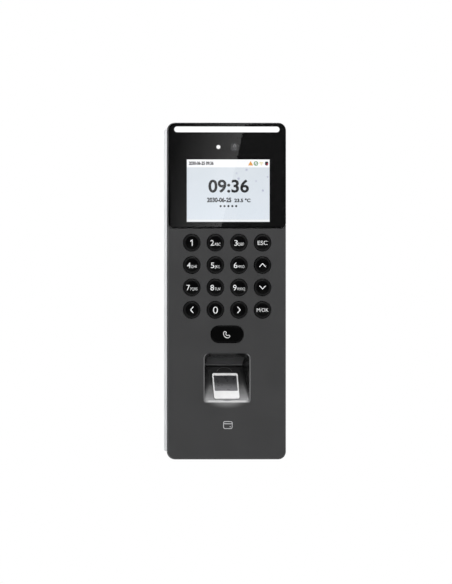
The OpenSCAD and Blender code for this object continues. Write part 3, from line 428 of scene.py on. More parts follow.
# geometry node trees
def newTree(name, sizes, takesMesh=False):
    tree = bpy.data.node_groups.new(name, "GeometryNodeTree")
    if takesMesh:
        tree.interface.new_socket(name="Geometry", in_out="INPUT", socket_type="NodeSocketGeometry")
    ids = {}
    for label, value in sizes.items():
        kind = {int: "NodeSocketInt", float: "NodeSocketFloat", tuple: "NodeSocketVector"}[type(value)]
        socket = tree.interface.new_socket(name=label, in_out="INPUT", socket_type=kind)
        socket.default_value = value
        ids[label] = socket.identifier
    tree.interface.new_socket(name="Geometry", in_out="OUTPUT", socket_type="NodeSocketGeometry")
    inside = tree.nodes.new("NodeGroupInput")
    return tree, ids, inside.outputs, tree.nodes.new("NodeGroupOutput")


def joined(tree, *parts):
    node = tree.nodes.new("GeometryNodeJoinGeometry")
    for part in reversed(parts):
        tree.links.new(part, node.inputs[0])
    return node.outputs[0]


def welded(tree, mesh, distance):
    return step(tree, "GeometryNodeMergeByDistance", Geometry=mesh, Distance=distance)


def onPoints(tree, points, instance, **inputs):
    return step(tree, "GeometryNodeInstanceOnPoints", Points=points, Instance=instance, **inputs)


def shadeByAngle(tree, mesh, angle):
    smooth = step(tree, "GeometryNodeSetShadeSmooth", Geometry=mesh)
    folded = tree.nodes.new("FunctionNodeCompare")
    folded.operation = "GREATER_THAN"
    tree.links.new(step(tree, "GeometryNodeInputMeshEdgeAngle"), folded.inputs[0])
    wire(tree, angle, folded.inputs[1])
    sharp = step(tree, "GeometryNodeSetShadeSmooth", Geometry=smooth, Selection=folded.outputs[0], Shade_Smooth=False)
    sharp.node.domain = "EDGE"
    return sharp


def finishTree(tree, mesh, material, last):
    real = step(tree, "GeometryNodeRealizeInstances", Geometry=mesh)
    painted = step(tree, "GeometryNodeSetMaterial", Geometry=real, Material=material)
    tree.links.new(painted, last.inputs[0])


def growMesh(name, tree, ids, values, start=()):  # runs a tree and keeps its plain mesh
    seed = bpy.data.meshes.new(name)
    seed.from_pydata([tuple(p) for p in start], [], [])
    holder = bpy.data.objects.new(name, seed)
    scene.collection.objects.link(holder)
    modifier = holder.modifiers.new("grow", "NODES")
    modifier.node_group = tree
    for label, value in values.items():
        modifier[ids[label]] = value
    graph = bpy.context.evaluated_depsgraph_get()
    mesh = bpy.data.meshes.new_from_object(holder.evaluated_get(graph))
    holder.modifiers.clear()
    bpy.data.objects.remove(holder)
    mesh.name = name
    return mesh


def addPiece(name, mesh, material, body="terminal"):
    piece = bpy.data.objects.new(name, mesh)
    scene.collection.objects.link(piece)
    if material is not None:
        mesh.materials.clear()
        mesh.materials.append(material)
    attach(piece, body)
    return piece


# rounded shading for the moulded and pressed pieces that stay as they are
shading = {"Angle": 0.6}
shaded = ["front_housing", "rear_housing", "lens_panel", "finger_guide", "call_key", "sensor_frame", "sensor_window",
          "wall_bracket", "locking_screw", "case_screws", "tamper_plunger", "camera_glass", "camera_barrel", "speaker",
          "light_bar_diffuser", "fill_light_pipe"]
tree, ids, size, last = newTree("roundedShading", shading, True)
tree.links.new(shadeByAngle(tree, welded(tree, size["Geometry"], 0.000001), size["Angle"]), last.inputs[0])
for name in shaded:
    rounded = nodes[name].modifiers.new("rounded", "NODES")
    rounded.node_group = tree
    rounded[ids["Angle"]] = shading["Angle"]
    evened = nodes[name].modifiers.new("evened", "WEIGHTED_NORMAL")
    evened.mode = "FACE_AREA_WITH_ANGLE"
    evened.keep_sharp = True
print("shading on", len(shaded), "pieces")

# round keys, turned from one profile; each leg has its share of the profile's points
keyCap = {
    "Cap": 0.0048, "Edge": 0.00062, "Dish": 0.0037, "Dip": 0.0003, "Wall": 0.00298,
    "Skirt": 0.0011, "Foot": 0.0008, "Stem": 0.0022, "Reach": 0.0008, "Sides": 56,
}
keyLegs = {"dish": (0, 0.4), "land": (0.4, 0.46), "edge": (0.46, 0.7), "wall": (0.7, 0.78), "skirt": (0.78, 0.82),
           "foot": (0.82, 0.86), "under": (0.86, 0.92), "reach": (0.92, 0.96), "stem": (0.96, 1)}
keyPoints = 51
keyProud = 0.8  # mm
keyNames = [n for n in nodes if n.startswith("key_")]


def keyTree():
    tree, ids, size, last = newTree("keyCap", keyCap)
    grid = step(tree, "GeometryNodeMeshGrid", Size_X=1, Size_Y=1, Vertices_X=size["Sides"], Vertices_Y=keyPoints)
    x, y, z = split(tree, step(tree, "GeometryNodeInputPosition"))
    angle = times(tree, sums(tree, "ADD", x, 0.5), -2 * math.pi)
    along = sums(tree, "ADD", y, 0.5)

    def total(operation, start, pairs):
        for share, length in pairs:
            start = sums(tree, operation, start, times(tree, share, length))
        return start

    leg = {name: ramp(tree, along, *ends) for name, ends in keyLegs.items()}
    bend = times(tree, leg["edge"], math.pi / 2)
    land = sums(tree, "SUBTRACT", sums(tree, "SUBTRACT", size["Cap"], size["Edge"]), size["Dish"])
    under = sums(tree, "SUBTRACT", sums(tree, "ADD", size["Cap"], size["Skirt"]), size["Stem"])
    radius = total("ADD", times(tree, leg["dish"], size["Dish"]), (
        (leg["land"], land), (sums(tree, "SINE", bend), size["Edge"]), (leg["skirt"], size["Skirt"])))
    radius = total("SUBTRACT", radius, ((leg["under"], under), (leg["stem"], size["Stem"])))
    bowl = times(tree, sums(tree, "SUBTRACT", 1.0, sums(tree, "POWER", leg["dish"], 2.0)), size["Dip"])
    curl = times(tree, sums(tree, "SUBTRACT", 1.0, sums(tree, "COSINE", bend)), size["Edge"])
    depth = total("ADD", sums(tree, "ADD", bowl, curl), (
        (leg["wall"], size["Wall"]), (leg["foot"], size["Foot"]), (leg["reach"], size["Reach"])))
    point = gather(tree, times(tree, radius, sums(tree, "COSINE", angle)), depth,
                   times(tree, radius, sums(tree, "SINE", angle)))
    turned = step(tree, "GeometryNodeSetPosition", Geometry=grid, Position=point)
    finishTree(tree, shadeByAngle(tree, welded(tree, turned, 0.000002), 0.5), finishes["key_black"], last)
    return tree, ids


tree, ids = keyTree()
capMesh = growMesh("keyCap", tree, ids, keyCap)
bm = bmesh.new()
bm.from_mesh(capMesh)
bmesh.ops.remove_doubles(bm, verts=bm.verts, dist=1e-7)
bmesh.ops.recalc_face_normals(bm, faces=bm.faces)
bm.to_mesh(capMesh)
bm.free()
# fingers polish the dish; the rim round it stays duller, and it is painted paler, a painted sheen for the ring of
# light it catches
rimSheenFinish = mouldedFinish("keyRimSheen", (0.0058, 0.0058, 0.006), (0.26, 0.34), 0.0006, 0.0000025,
                          tone=0.15, specular=0.12, edge=0.00012, wear=0.02)
capMesh.materials.clear()
for finish in (rimSheenFinish, finishes["key_black"]):
    capMesh.materials.append(finish)
for face in capMesh.polygons:
    inDish = math.hypot(face.center.x, face.center.z) < keyCap["Dish"]
    face.material_index = int(inDish and face.center.y < keyCap["Dip"])
keyPlace = {}
for name in keyNames:
    low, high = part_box(name)
    keyPlace[name] = Vector(((low.x + high.x) / 2, low.y, (low.z + high.z) / 2))
    cap = capMesh.copy()
    cap.transform(Matrix.Translation(keyPlace[name]))
    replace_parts(addPiece(name + "_cap", cap, None, name), name)
print("round keys", len(keyNames), "faces each", len(capMesh.polygons))


# flat art: outlines in mm, across and up, about their own middle
leastMitre = 0.35
endTurns = (0.5, 1.05, 1.57, 2.09, 2.64)  # points round a stroke's end


def strokeArt(bm, points, width, closed=False):
    points = [Vector(p) for p in points]
    n = len(points)
    half = width / 2
    left, right = [], []
    for i, p in enumerate(points):
        before = points[(i - 1) % n] if closed or i else None
        after = points[(i + 1) % n] if closed or i < n - 1 else None
        a = (p - before).normalized() if before is not None else (after - p).normalized()
        b = (after - p).normalized() if after is not None else a
        side = Vector((-(a.y + b.y), a.x + b.x)).normalized()
        reach = half / max(leastMitre, side.dot(Vector((-a.y, a.x))))
        left.append(bm.verts.new((*(p + side * reach), 0)))
        right.append(bm.verts.new((*(p - side * reach), 0)))
    for i in range(n if closed else n - 1):
        j = (i + 1) % n
        bm.faces.new((left[i], right[i], right[j], left[j]))
    if closed:
        return
    ends = ((points[0], points[1], left[0], right[0]), (points[-1], points[-2], right[-1], left[-1]))
    for end, near, first, second in ends:  # rounded
        out = (end - near).normalized() * half
        side = first.co.xy - end
        arc = [end + side * math.cos(t) + out * math.sin(t) for t in endTurns]
        bm.faces.new((first, *(bm.verts.new((*p, 0)) for p in arc), second))


def patchArt(bm, points):
    bm.faces.new([bm.verts.new((*p, 0)) for p in points])


def discArt(bm, x, y, radius, sides=24):
    turns = [2 * math.pi * i / sides for i in range(sides)]
    patchArt(bm, [(x + radius * math.cos(t), y + radius * math.sin(t)) for t in turns])


def frameLine(w, h, r, steps=6):  # rounded rectangle, anticlockwise
    out = []
    right, top = w / 2 - r, h / 2 - r
    for cx, cy, start in ((right, top, 0), (-right, top, 90), (-right, -top, 180), (right, -top, 270)):
        for i in range(steps + 1):
            t = math.radians(start + 90 * i / steps)
            out.append((cx + r * math.cos(t), cy + r * math.sin(t)))
    return out


def arcLine(wide, high, start, steps, lift=0.0):  # over the top, from an angle to its mirror
    turns = [math.radians(start + (180 - 2 * start) * i / steps) for i in range(steps + 1)]
    return [(wide * math.cos(t), high * math.sin(t) + lift) for t in turns]


def smoothLoop(points, steps=4):
    out = []
    n = len(points)
    for i in range(n):
        a, b, c, d = (Vector(points[(i + k) % n]) for k in (-1, 0, 1, 2))
        for s in range(steps):
            t = s / steps
            square, cube = 2 * a - 5 * b + 4 * c - d, 3 * b - a - 3 * c + d
            out.append(0.5 * (2 * b + (c - a) * t + square * t * t + cube * t ** 3))
    return out


def artMesh(name, shapes, thick):  # shapes: a drawing function with what it takes
    bm = bmesh.new()
    for draw, *rest in shapes:
        draw(bm, *rest)
    for face in bm.faces:
        face.normal_update()
        if face.normal.z < 0:
            face.normal_flip()
    bmesh.ops.solidify(bm, geom=bm.faces[:], thickness=-thick)
    bmesh.ops.recalc_face_normals(bm, faces=bm.faces)
    mesh = bpy.data.meshes.new(name)
    bm.to_mesh(mesh)
    bm.free()
    return mesh


capShare = 0.727  # of the built-in letters' size


def letterMesh(name, words, thick):  # words: text, cap height, width, weight, middle, baseline
    bm = bmesh.new()
    for text, height, width, weight, x, base in words:
        curve = bpy.data.curves.new("letters", "FONT")
        curve.body = text
        curve.size = height / capShare
        curve.resolution_u = 5
        curve.offset = weight
        curve.extrude = thick / 2
        holder = bpy.data.objects.new("letters", curve)
        scene.collection.objects.link(holder)
        graph = bpy.context.evaluated_depsgraph_get()
        made = bpy.data.meshes.new_from_object(holder.evaluated_get(graph))
        bpy.data.objects.remove(holder)
        wide = [v.co.x for v in made.vertices]
        low, high = min(wide), max(wide)
        made.transform(Matrix.Translation((x, base, thick / 2)) @ Matrix.Diagonal((width / (high - low), 1, 1, 1))
                       @ Matrix.Translation((-(low + high) / 2, 0, 0)))
        bm.from_mesh(made)
        bpy.data.meshes.remove(made)
    mesh = bpy.data.meshes.new(name)
    bm.to_mesh(mesh)
    bm.free()
    return mesh


def layFlat(mesh, x, drop, depth, lift=0.0):  # onto a flat that faces the user
    for v in mesh.vertices:
        u, w, t = v.co
        v.co = spot(x + u, drop - w, depth - t - lift)
    mesh.update()


def layInDish(mesh, place, lift):  # into a round key's dish
    for v in mesh.vertices:
        u, w, t = v.co
        share = min(1, math.hypot(u, w) * mm / keyCap["Dish"])
        v.co = place + Vector((u * mm, keyCap["Dip"] * (1 - share ** 2) - (t + lift) * mm, w * mm))
    mesh.update()


# key legends: strokes, single words, or a digit with its letters
legendInk = mouldedFinish("legendWhite", (0.78, 0.79, 0.79), (0.42, 0.52), 0.00012, 0.000003,
                          tone=0.03, specular=0.4, edge=0.00002, wear=0.0)
legend = {"digit": 3.4, "digitWide": 2.1, "weight": 0.005, "small": 1.75, "smallWeight": -0.01, "gap": 0.25,
          "ink": 0.02, "lift": 0.004, "stroke": 0.5}
legendStrokes = {
    "up": [(-1.7, -0.85), (0, 0.85), (1.7, -0.85)], "down": [(-1.7, 0.85), (0, -0.85), (1.7, 0.85)],
    "left": [(0.75, 1.7), (-0.75, 0), (0.75, -1.7)], "right": [(-0.75, 1.7), (0.75, 0), (-0.75, -1.7)],
    "1": [(-0.75, 0.85), (0.2, 1.6), (0.2, -1.62)],
}
legendWords = {"esc": ("ESC", 2.5, 5.8, 0.0), "ok": ("M/OK", 2.2, 6.9, 0.0), "0": ("0", 4.3, 2.85, -0.04)}
legendLetters = {"2": ("ABC", 3.6), "3": ("DEF", 3.4), "4": ("GHI", 3.3), "5": ("JKL", 3.2), "6": ("MNO", 3.9),
                 "7": ("PQRS", 4.1), "8": ("TUV", 3.6), "9": ("WXYZ", 4.8)}
for name in keyNames:
    mark = name[4:]
    label = name + "_legend"
    if mark in legendStrokes:
        mesh = artMesh(label, [(strokeArt, legendStrokes[mark], legend["stroke"])], legend["ink"])
    elif mark in legendWords:
        mesh = letterMesh(label, [(*legendWords[mark], 0, -legendWords[mark][1] / 2)], legend["ink"])
    else:
        letters, wide = legendLetters[mark]
        low = -legend["digit"] / 2
        mesh = letterMesh(label, [
            (mark, legend["digit"], legend["digitWide"], legend["weight"], -(wide + legend["gap"]) / 2, low),
            (letters, legend["small"], wide, legend["smallWeight"], (legend["digitWide"] + legend["gap"]) / 2, low),
        ], legend["ink"])
    layInDish(mesh, keyPlace[name], legend["lift"])
    addPiece(label, mesh, legendInk, name)

# handset on the call key
handset = {"size": 0.45, "stroke": 0.34, "x": -0.5, "low": 0.35, "lean": -45, "proud": 0.00003, "outline": [
    (-4.9, 0.4), (-4.4, 1.9), (-2.7, 2.3), (-1.9, 1.0), (-1.1, 0.2), (0, -0.1), (1.1, 0.2), (1.9, 1.0),
    (2.7, 2.3), (4.4, 1.9), (4.9, 0.4), (3.9, -1.6), (2.0, -2.7), (0, -3.1), (-2.0, -2.7), (-3.9, -1.6)]}
lean = Matrix.Rotation(math.radians(handset["lean"]), 2)
outline = [lean @ (p * handset["size"]) for p in smoothLoop(handset["outline"])]
mesh = artMesh("call_key_legend", [(strokeArt, outline, handset["stroke"], True)], legend["ink"])
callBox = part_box("call_key")
callDrop = (topZ - middle(callBox).z) / mm
layFlat(mesh, handset["x"], callDrop + handset["low"], -keyProud, legend["lift"])
for v in mesh.vertices:
    v.co.y = max(v.co.y, callBox[0].y - handset["proud"])
addPiece("call_key_legend", mesh, legendInk, "call_key")

# card sign under the finger recess
cardSign = {"drop": 176.9, "x": 0.45, "w": 5.1, "h": 4.1, "r": 0.9, "stroke": 0.38, "band": 0.75, "bandStroke": 0.42,
            "bandEnd": 2.1, "dot": (1.35, -0.95, 0.28), "ink": 0.015, "lift": 0.003}
cardInk = mouldedFinish("cardInk", (0.5, 0.5, 0.51), (0.45, 0.55), 0.00012, 0.000003,
                        tone=0.03, specular=0.3, edge=0.00002, wear=0.0)
band = [(-cardSign["bandEnd"], cardSign["band"]), (cardSign["bandEnd"], cardSign["band"])]
mesh = artMesh("card_sign", [
    (strokeArt, frameLine(cardSign["w"], cardSign["h"], cardSign["r"]), cardSign["stroke"], True),
    (strokeArt, band, cardSign["bandStroke"]), (discArt, *cardSign["dot"])], cardSign["ink"])
layFlat(mesh, cardSign["x"], cardSign["drop"], 0.0, cardSign["lift"])
addPiece("card_sign", mesh, cardInk)

# raised arc that meets the fingertip, on the guide's sloped floor
tipArc = {"drop": 146.3, "wide": 4.6, "high": 3.1, "start": 12, "steps": 22, "stroke": 0.4, "rise": 0.06}
slope = {"drop": 142.01, "depth": 15.0, "fall": 0.6905}
arcFinish = mouldedFinish("arcBlack", (0.05, 0.05, 0.051), (0.3, 0.36), 0.00018, 0.000004,
                          tone=0.1, specular=0.4, edge=0.00005, wear=0.0)
outline = arcLine(tipArc["wide"], tipArc["high"], tipArc["start"], tipArc["steps"])
mesh = artMesh("tip_arc", [(strokeArt, outline, tipArc["stroke"])], tipArc["rise"])
for v in mesh.vertices:
    u, w, t = v.co
    drop = tipArc["drop"] - w
    v.co = spot(u, drop, slope["depth"] - (drop - slope["drop"]) * slope["fall"] - t)
mesh.update()
addPiece("tip_arc", mesh, arcFinish)
print("legends and signs laid")

# picture behind the lens, in layers of thin film
panelLow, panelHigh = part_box("display_panel")
picture = {"left": 6.25, "right": 2.65, "over": 3.1, "under": 1.75, "depth": 1.66, "bar": 4.6, "foot": 1.3,
           "layer": 0.012, "film": 0.004}
picLeft = panelLow.x / mm + picture["left"]
picRight = panelHigh.x / mm - picture["right"]
picTop = (topZ - panelHigh.z) / mm + picture["over"]
picLow = (topZ - panelLow.z) / mm - picture["under"]
picMid = (picLeft + picRight) / 2
picDrop = (picTop + picLow) / 2
picW, picH = picRight - picLeft, picLow - picTop


def pictureGlow(name, *levels):
    return litFinish(name, linear(*levels), lensGlow)


def addPicture(name, mesh, material, layer, x, drop):
    layFlat(mesh, x, drop, picture["depth"], picture["layer"] * layer)
    addPiece("picture_" + name, mesh, material)


def addBlock(name, w, h, material, layer, drop):
    corners = [(-w / 2, -h / 2), (w / 2, -h / 2), (w / 2, h / 2), (-w / 2, h / 2)]
    addPicture(name, artMesh(name, [(patchArt, corners)], picture["film"]), material, layer, picMid, drop)


wallpaper, tree, shader = newFinish("wallpaperGlow")
place = coords(tree)
rise = ramp(tree, split(tree, place)[2], topZ - picLow * mm, topZ - picTop * mm)
color = blendColor(tree, rise, linear(221, 229, 236), linear(216, 223, 228))
cloud = ramp(tree, noise(tree, place, 70, 2), 0.45, 0.75, 0, 0.35)
color = blendColor(tree, cloud, color, linear(228, 233, 238))
fill(tree, shader, Emission_Color=color, Emission_Strength=lensGlow, **unlit)
inkGlow = pictureGlow("inkGlow", 6, 8, 12)
addBlock("wallpaper", picW, picH, wallpaper, 0, picDrop)
addBlock("status_bar", picW, picture["bar"], pictureGlow("barGlow", 253, 254, 255), 1, picTop + picture["bar"] / 2)
addBlock("foot_bar", picW, picture["foot"], pictureGlow("footGlow", 238, 241, 241), 1, picLow - picture["foot"] / 2)

# clock and date in plain figures
clock = {"x": picMid + 0.25, "drop": picTop + 19.1, "words": [("09:36", 7.4, 23.9, 0.26, 0, 0)]}
date = {"x": picMid + 0.25, "drop": picTop + 24.9,
        "words": [("2030-06-25", 2.6, 14.4, 0.15, -5.6, 0), ("23.5 °C", 2.0, 9.6, 0.13, 8.1, 0)]}
barDate = {"x": picLeft + 8.5, "drop": picTop + 3.1, "words": [("2030-06-25 09:36", 1.9, 14.6, 0.12, 0, 0)]}
for name, line in (("clock", clock), ("date", date), ("bar_date", barDate)):
    addPicture(name, letterMesh(name, line["words"], picture["film"]), inkGlow, 2, line["x"], line["drop"])


# entry dots in a row, and the faint net of points on the wallpaper
def dotMesh(name, radius, points, material, seed=None):
    tree, ids, size, last = newTree(name, {"Radius": radius}, True)
    disc = step(tree, "GeometryNodeMeshCircle", Vertices=12, Radius=size["Radius"])
    disc.node.fill_type = "NGON"
    scale = None
    if seed is not None:
        spread = tree.nodes.new("FunctionNodeRandomValue")
        spread.data_type = "FLOAT"
        spread.inputs[2].default_value = 0.7
        spread.inputs[3].default_value = 1.3
        spread.inputs["Seed"].default_value = seed
        scale = spread.outputs[1]
    finishTree(tree, onPoints(tree, size["Geometry"], disc, Scale=scale), material, last)
    return growMesh(name, tree, ids, {"Radius": radius}, points)


entryDots = {"count": 5, "pitch": 2.3, "radius": 0.64, "x": picMid + 0.1, "drop": picTop + 27.3}
points = [((i - (entryDots["count"] - 1) / 2) * entryDots["pitch"], 0, 0) for i in range(entryDots["count"])]
mesh = dotMesh("entry_dots", entryDots["radius"], points, inkGlow)
addPicture("entry_dots", mesh, None, 2, entryDots["x"], entryDots["drop"])

net = {"radius": 0.6, "seed": 4, "stroke": 0.07, "links": [(0, 1), (1, 2), (0, 3), (3, 4), (3, 5)],
       "points": [(10.8, 12.2), (5.0, 10.2), (6.1, 7.0), (16.4, 5.6), (20.4, 0.1), (23.2, 8.1)]}
mesh = dotMesh("net_points", net["radius"], [(*p, 0) for p in net["points"]],
               pictureGlow("paleGlow", 184, 188, 206), net["seed"])
addPicture("net_points", mesh, None, 1, picMid, picDrop)
shapes = [(strokeArt, [net["points"][a], net["points"][b]], net["stroke"]) for a, b in net["links"]]
mesh = artMesh("net_lines", shapes, picture["film"])
addPicture("net_lines", mesh, pictureGlow("netGlow", 207, 213, 222), 1, picMid, picDrop)

# status signs: warning triangle, lock ring with a tick, radio arcs, record block with its dot
signs = {"drop": picTop + 2.35, "first": picRight - 11.2, "pitch": 3.15}
signArt = [  # name, place in the row, layer, glow, shapes
    ("sign_warn", 0, 2, pictureGlow("signOrange", 226, 160, 74), [
        (strokeArt, [(-1.15, -0.95), (1.15, -0.95), (0, 1.05)], 0.42, True),
        (patchArt, [(-0.85, -0.75), (0.85, -0.75), (0, 0.7)])]),
    ("sign_lock", 1, 2, pictureGlow("signGreen", 86, 148, 74), [(strokeArt, frameLine(2.1, 2.0, 0.9), 0.5, True)]),
    ("sign_tick", 1, 2, pictureGlow("greyGlow", 128, 134, 142), [
        (strokeArt, [(-0.5, -0.1), (-0.1, -0.5), (0.65, 0.45)], 0.4)]),
    ("sign_radio", 2, 2, pictureGlow("signYellow", 222, 206, 120), [
        *((strokeArt, arcLine(r, r, 45, 6, -0.8), 0.36) for r in (0.75, 1.5)), (discArt, 0, -0.72, 0.3, 12)]),
    ("sign_block", 3, 2, inkGlow, [(patchArt, frameLine(1.9, 2.3, 0.7))]),
    ("sign_dot", 3, 3, pictureGlow("signRed", 206, 62, 84), [(discArt, 0.45, -0.35, 0.45, 14)]),
]
for name, at, layer, glow, shapes in signArt:
    mesh = artMesh(name, shapes, picture["film"])
    addPicture(name, mesh, glow, layer, signs["first"] + at * signs["pitch"], signs["drop"])
print("picture drawn", round(picW, 2), "x", round(picH, 2), "mm")

# six-lobe drives in the screws' heads
drive = {"Rim": 0.00108, "Outer": 0.00088, "Inner": 0.0006, "Depth": 0.00092, "Turn": (math.pi / 2, 0.0, 0.0)}
lockDrive = dict(drive, Rim=0.00118, Outer=0.00096, Inner=0.00066, Turn=(0.0, 0.0, 0.0))
driveFit = {"fillet": 0.00016, "proud": 0.00003, "headRadius": 0.0024, "rowGap": 0.006}
tree, ids, size, last = newTree("driveLobes", drive, True)
star = step(tree, "GeometryNodeCurveStar", Points=6, Inner_Radius=size["Inner"], Outer_Radius=size["Outer"])
lobes = step(tree, "GeometryNodeFilletCurve", Curve=star, Radius=driveFit["fillet"])
ring = step(tree, "GeometryNodeCurvePrimitiveCircle", Resolution=36, Radius=size["Rim"])
plate = step(tree, "GeometryNodeFillCurve", Curve=joined(tree, ring, lobes))
raised = step(tree, "GeometryNodeExtrudeMesh", Mesh=plate, Offset_Scale=size["Depth"], Individual=False)
solid = welded(tree, joined(tree, raised, step(tree, "GeometryNodeFlipFaces", Mesh=plate)), 0.000001)
finishTree(tree, onPoints(tree, size["Geometry"], solid, Rotation=size["Turn"]), finishes["steel"], last)
caseLow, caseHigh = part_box("case_screws")
caseX = (caseHigh.x - caseLow.x) / 2 - driveFit["headRadius"]
caseRows = []
for z in sorted({round(v.co.z, 4) for v in nodes["case_screws"].data.vertices}):
    if not caseRows or z - caseRows[-1][-1] > driveFit["rowGap"]:
        caseRows.append([])
    caseRows[-1].append(z)
casePoints = [(x, caseHigh.y - driveFit["proud"], (row[0] + row[-1]) / 2) for x in (-caseX, caseX) for row in caseRows]
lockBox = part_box("locking_screw")
lockPoints = [(*middle(lockBox).xy, lockBox[0].z + driveFit["proud"])]
for name, sizes, points in (("case_screw_drives", drive, casePoints), ("locking_screw_drive", lockDrive, lockPoints)):
    addPiece(name, growMesh(name, tree, ids, sizes, points), None)

# small parts soldered beside the wiring sockets, in two rows with gaps
boardBits = {"Length": 0.0016, "Width": 0.0008, "Height": 0.00055, "Seed": 7}
bitRows = {"away": 0.0013, "first": -0.0175, "pitch": 0.0025, "count": 15, "group": 5, "gap": 3}
bitsFinish, tree, shader = newFinish("boardBits")
kind = ramp(tree, surface(tree, "Random Per Island"), 0.45, 0.55)
fill(tree, shader, Base_Color=blendColor(tree, kind, (0.018, 0.018, 0.02, 1), (0.42, 0.28, 0.15, 1)),
     Roughness=ramp(tree, noise(tree, coords(tree), 2500), 0.3, 0.7, 0.35, 0.55))
tree, ids, size, last = newTree("boardBits", boardBits, True)
brick = step(tree, "GeometryNodeMeshCube", Size=gather(tree, size["Length"], size["Height"], size["Width"]))
spread = tree.nodes.new("FunctionNodeRandomValue")
spread.data_type = "FLOAT_VECTOR"
spread.inputs[0].default_value = (0.6, 0.8, 0.8)
spread.inputs[1].default_value = (1.1, 1.2, 1.1)
tree.links.new(size["Seed"], spread.inputs["Seed"])
finishTree(tree, onPoints(tree, size["Geometry"], brick, Scale=spread.outputs[0]), bitsFinish, last)
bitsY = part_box("main_board")[1].y + boardBits["Height"] / 2
headerLow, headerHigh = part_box("wiring_headers")
points = []
for z in (headerLow.z - bitRows["away"], headerHigh.z + bitRows["away"]):
    points += [(bitRows["first"] + bitRows["pitch"] * i, bitsY, z) for i in range(bitRows["count"])
               if i % bitRows["group"] != bitRows["gap"]]
addPiece("board_bits", growMesh("board_bits", tree, ids, boardBits, points), None)

# woven gauze over the speaker cone
gauze = {"Radius": 0.0083, "Pitch": 0.00055, "Wire": 0.00009, "Wires": 29, "Over": 0.00016}
gauzeSunk = 0.0004
tree, ids, size, last = newTree("speakerGauze", gauze)
rod = step(tree, "GeometryNodeMeshCylinder", Vertices=6, Radius=size["Wire"], Depth=1.0)
first = times(tree, sums(tree, "SUBTRACT", size["Wires"], 1.0), -0.5, size["Pitch"])
row = step(tree, "GeometryNodeMeshLine", Count=size["Wires"], Start_Location=gather(tree, first),
           Offset=gather(tree, size["Pitch"]))
x, y, z = split(tree, step(tree, "GeometryNodeInputPosition"))
inside = sums(tree, "SUBTRACT", sums(tree, "POWER", size["Radius"], 2.0), sums(tree, "POWER", absolute(tree, x), 2.0))
chord = times(tree, sums(tree, "SQRT", sums(tree, "MAXIMUM", inside, 1e-8)), 2.0)
rods = onPoints(tree, row, rod, Scale=gather(tree, 1, 1, chord))
crossed = step(tree, "GeometryNodeTransform", Geometry=rods, Rotation=(0, math.pi / 2, 0),
               Translation=gather(tree, y=size["Over"]))
finishTree(tree, joined(tree, rods, crossed), finishes["black_plastic"], last)
mesh = growMesh("speaker_gauze", tree, ids, gauze)
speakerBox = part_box("speaker")
gauzeMid = middle(speakerBox)
gauzeMid.y = speakerBox[1].y - gauzeSunk
mesh.transform(Matrix.Translation(gauzeMid))
addPiece("speaker_gauze", mesh, None)
print("back details placed")

# camera: long lens, a little to the left of the terminal
view = {"yaw": 7.1, "far": 12.0, "tall": 0.3417, "x": -0.66, "drop": 99.05, "sensor": 36}
yaw = math.radians(view["yaw"])
cameraData = bpy.data.cameras.new("photoCamera")
camera = bpy.data.objects.new("photoCamera", cameraData)
scene.collection.objects.link(camera)
cameraData.sensor_width = view["sensor"]
cameraData.sensor_fit = "AUTO"
cameraData.lens = view["sensor"] * view["far"] / view["tall"]
cameraData.clip_end = 50
camera.location = spot(view["x"], view["drop"], 0) + Vector((-math.sin(yaw), -math.cos(yaw), 0)) * view["far"]
camera.rotation_euler = (math.pi / 2, 0, -yaw)
scene.camera = camera


def seenRays(tree):  # 1 where the camera looks, straight or through gloss and glass
    path = tree.nodes.new("ShaderNodeLightPath").outputs
    through = sums(tree, "MAXIMUM", path["Is Glossy Ray"], path["Is Transmission Ray"])
    return sums(tree, "MAXIMUM", path["Is Camera Ray"], through)


def stagePlane(name, corners, finish, *unseen):
    mesh = bpy.data.meshes.new(name)
    mesh.from_pydata(corners, [], [(0, 1, 2, 3)])
    mesh.materials.append(finish)
    piece = bpy.data.objects.new(name, mesh)
    scene.collection.objects.link(piece)
    for rays in unseen:
        setattr(piece, "visible_" + rays, False)
    piece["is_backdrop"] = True


# floor, which throws light up, and white backdrop
floor = {"below": 0.085, "half": 8.0, "tone": (0.86, 0.86, 0.865), "rough": 0.7, "lift": 0.68}
finish, tree, shader = newFinish("paleFloor")
grain = ramp(tree, noise(tree, coords(tree), 30, 4), 0.3, 0.7)
fill(tree, shader, Base_Color=blendColor(tree, grain, rgba(floor["tone"], 0.99), rgba(floor["tone"])),
     Roughness=floor["rough"], Emission_Color=(1, 1, 1, 1),
     Emission_Strength=times(tree, seenRays(tree), floor["lift"]))
h, floorZ = floor["half"], cadBox[0][2] - floor["below"]
stagePlane("floor", [(-h, -h, floorZ), (h, -h, floorZ), (h, h, floorZ), (-h, h, floorZ)], finish, "camera")

ambient = {"level": 0.3, "tone": (1, 1, 1, 1)}
world = bpy.data.worlds.new("studio")
scene.world = world
world.use_nodes = True
tree = world.node_tree
fill(tree, tree.nodes["Background"], Color=ambient["tone"],
     Strength=ramp(tree, seenRays(tree), 0, 1, ambient["level"], 1.0))

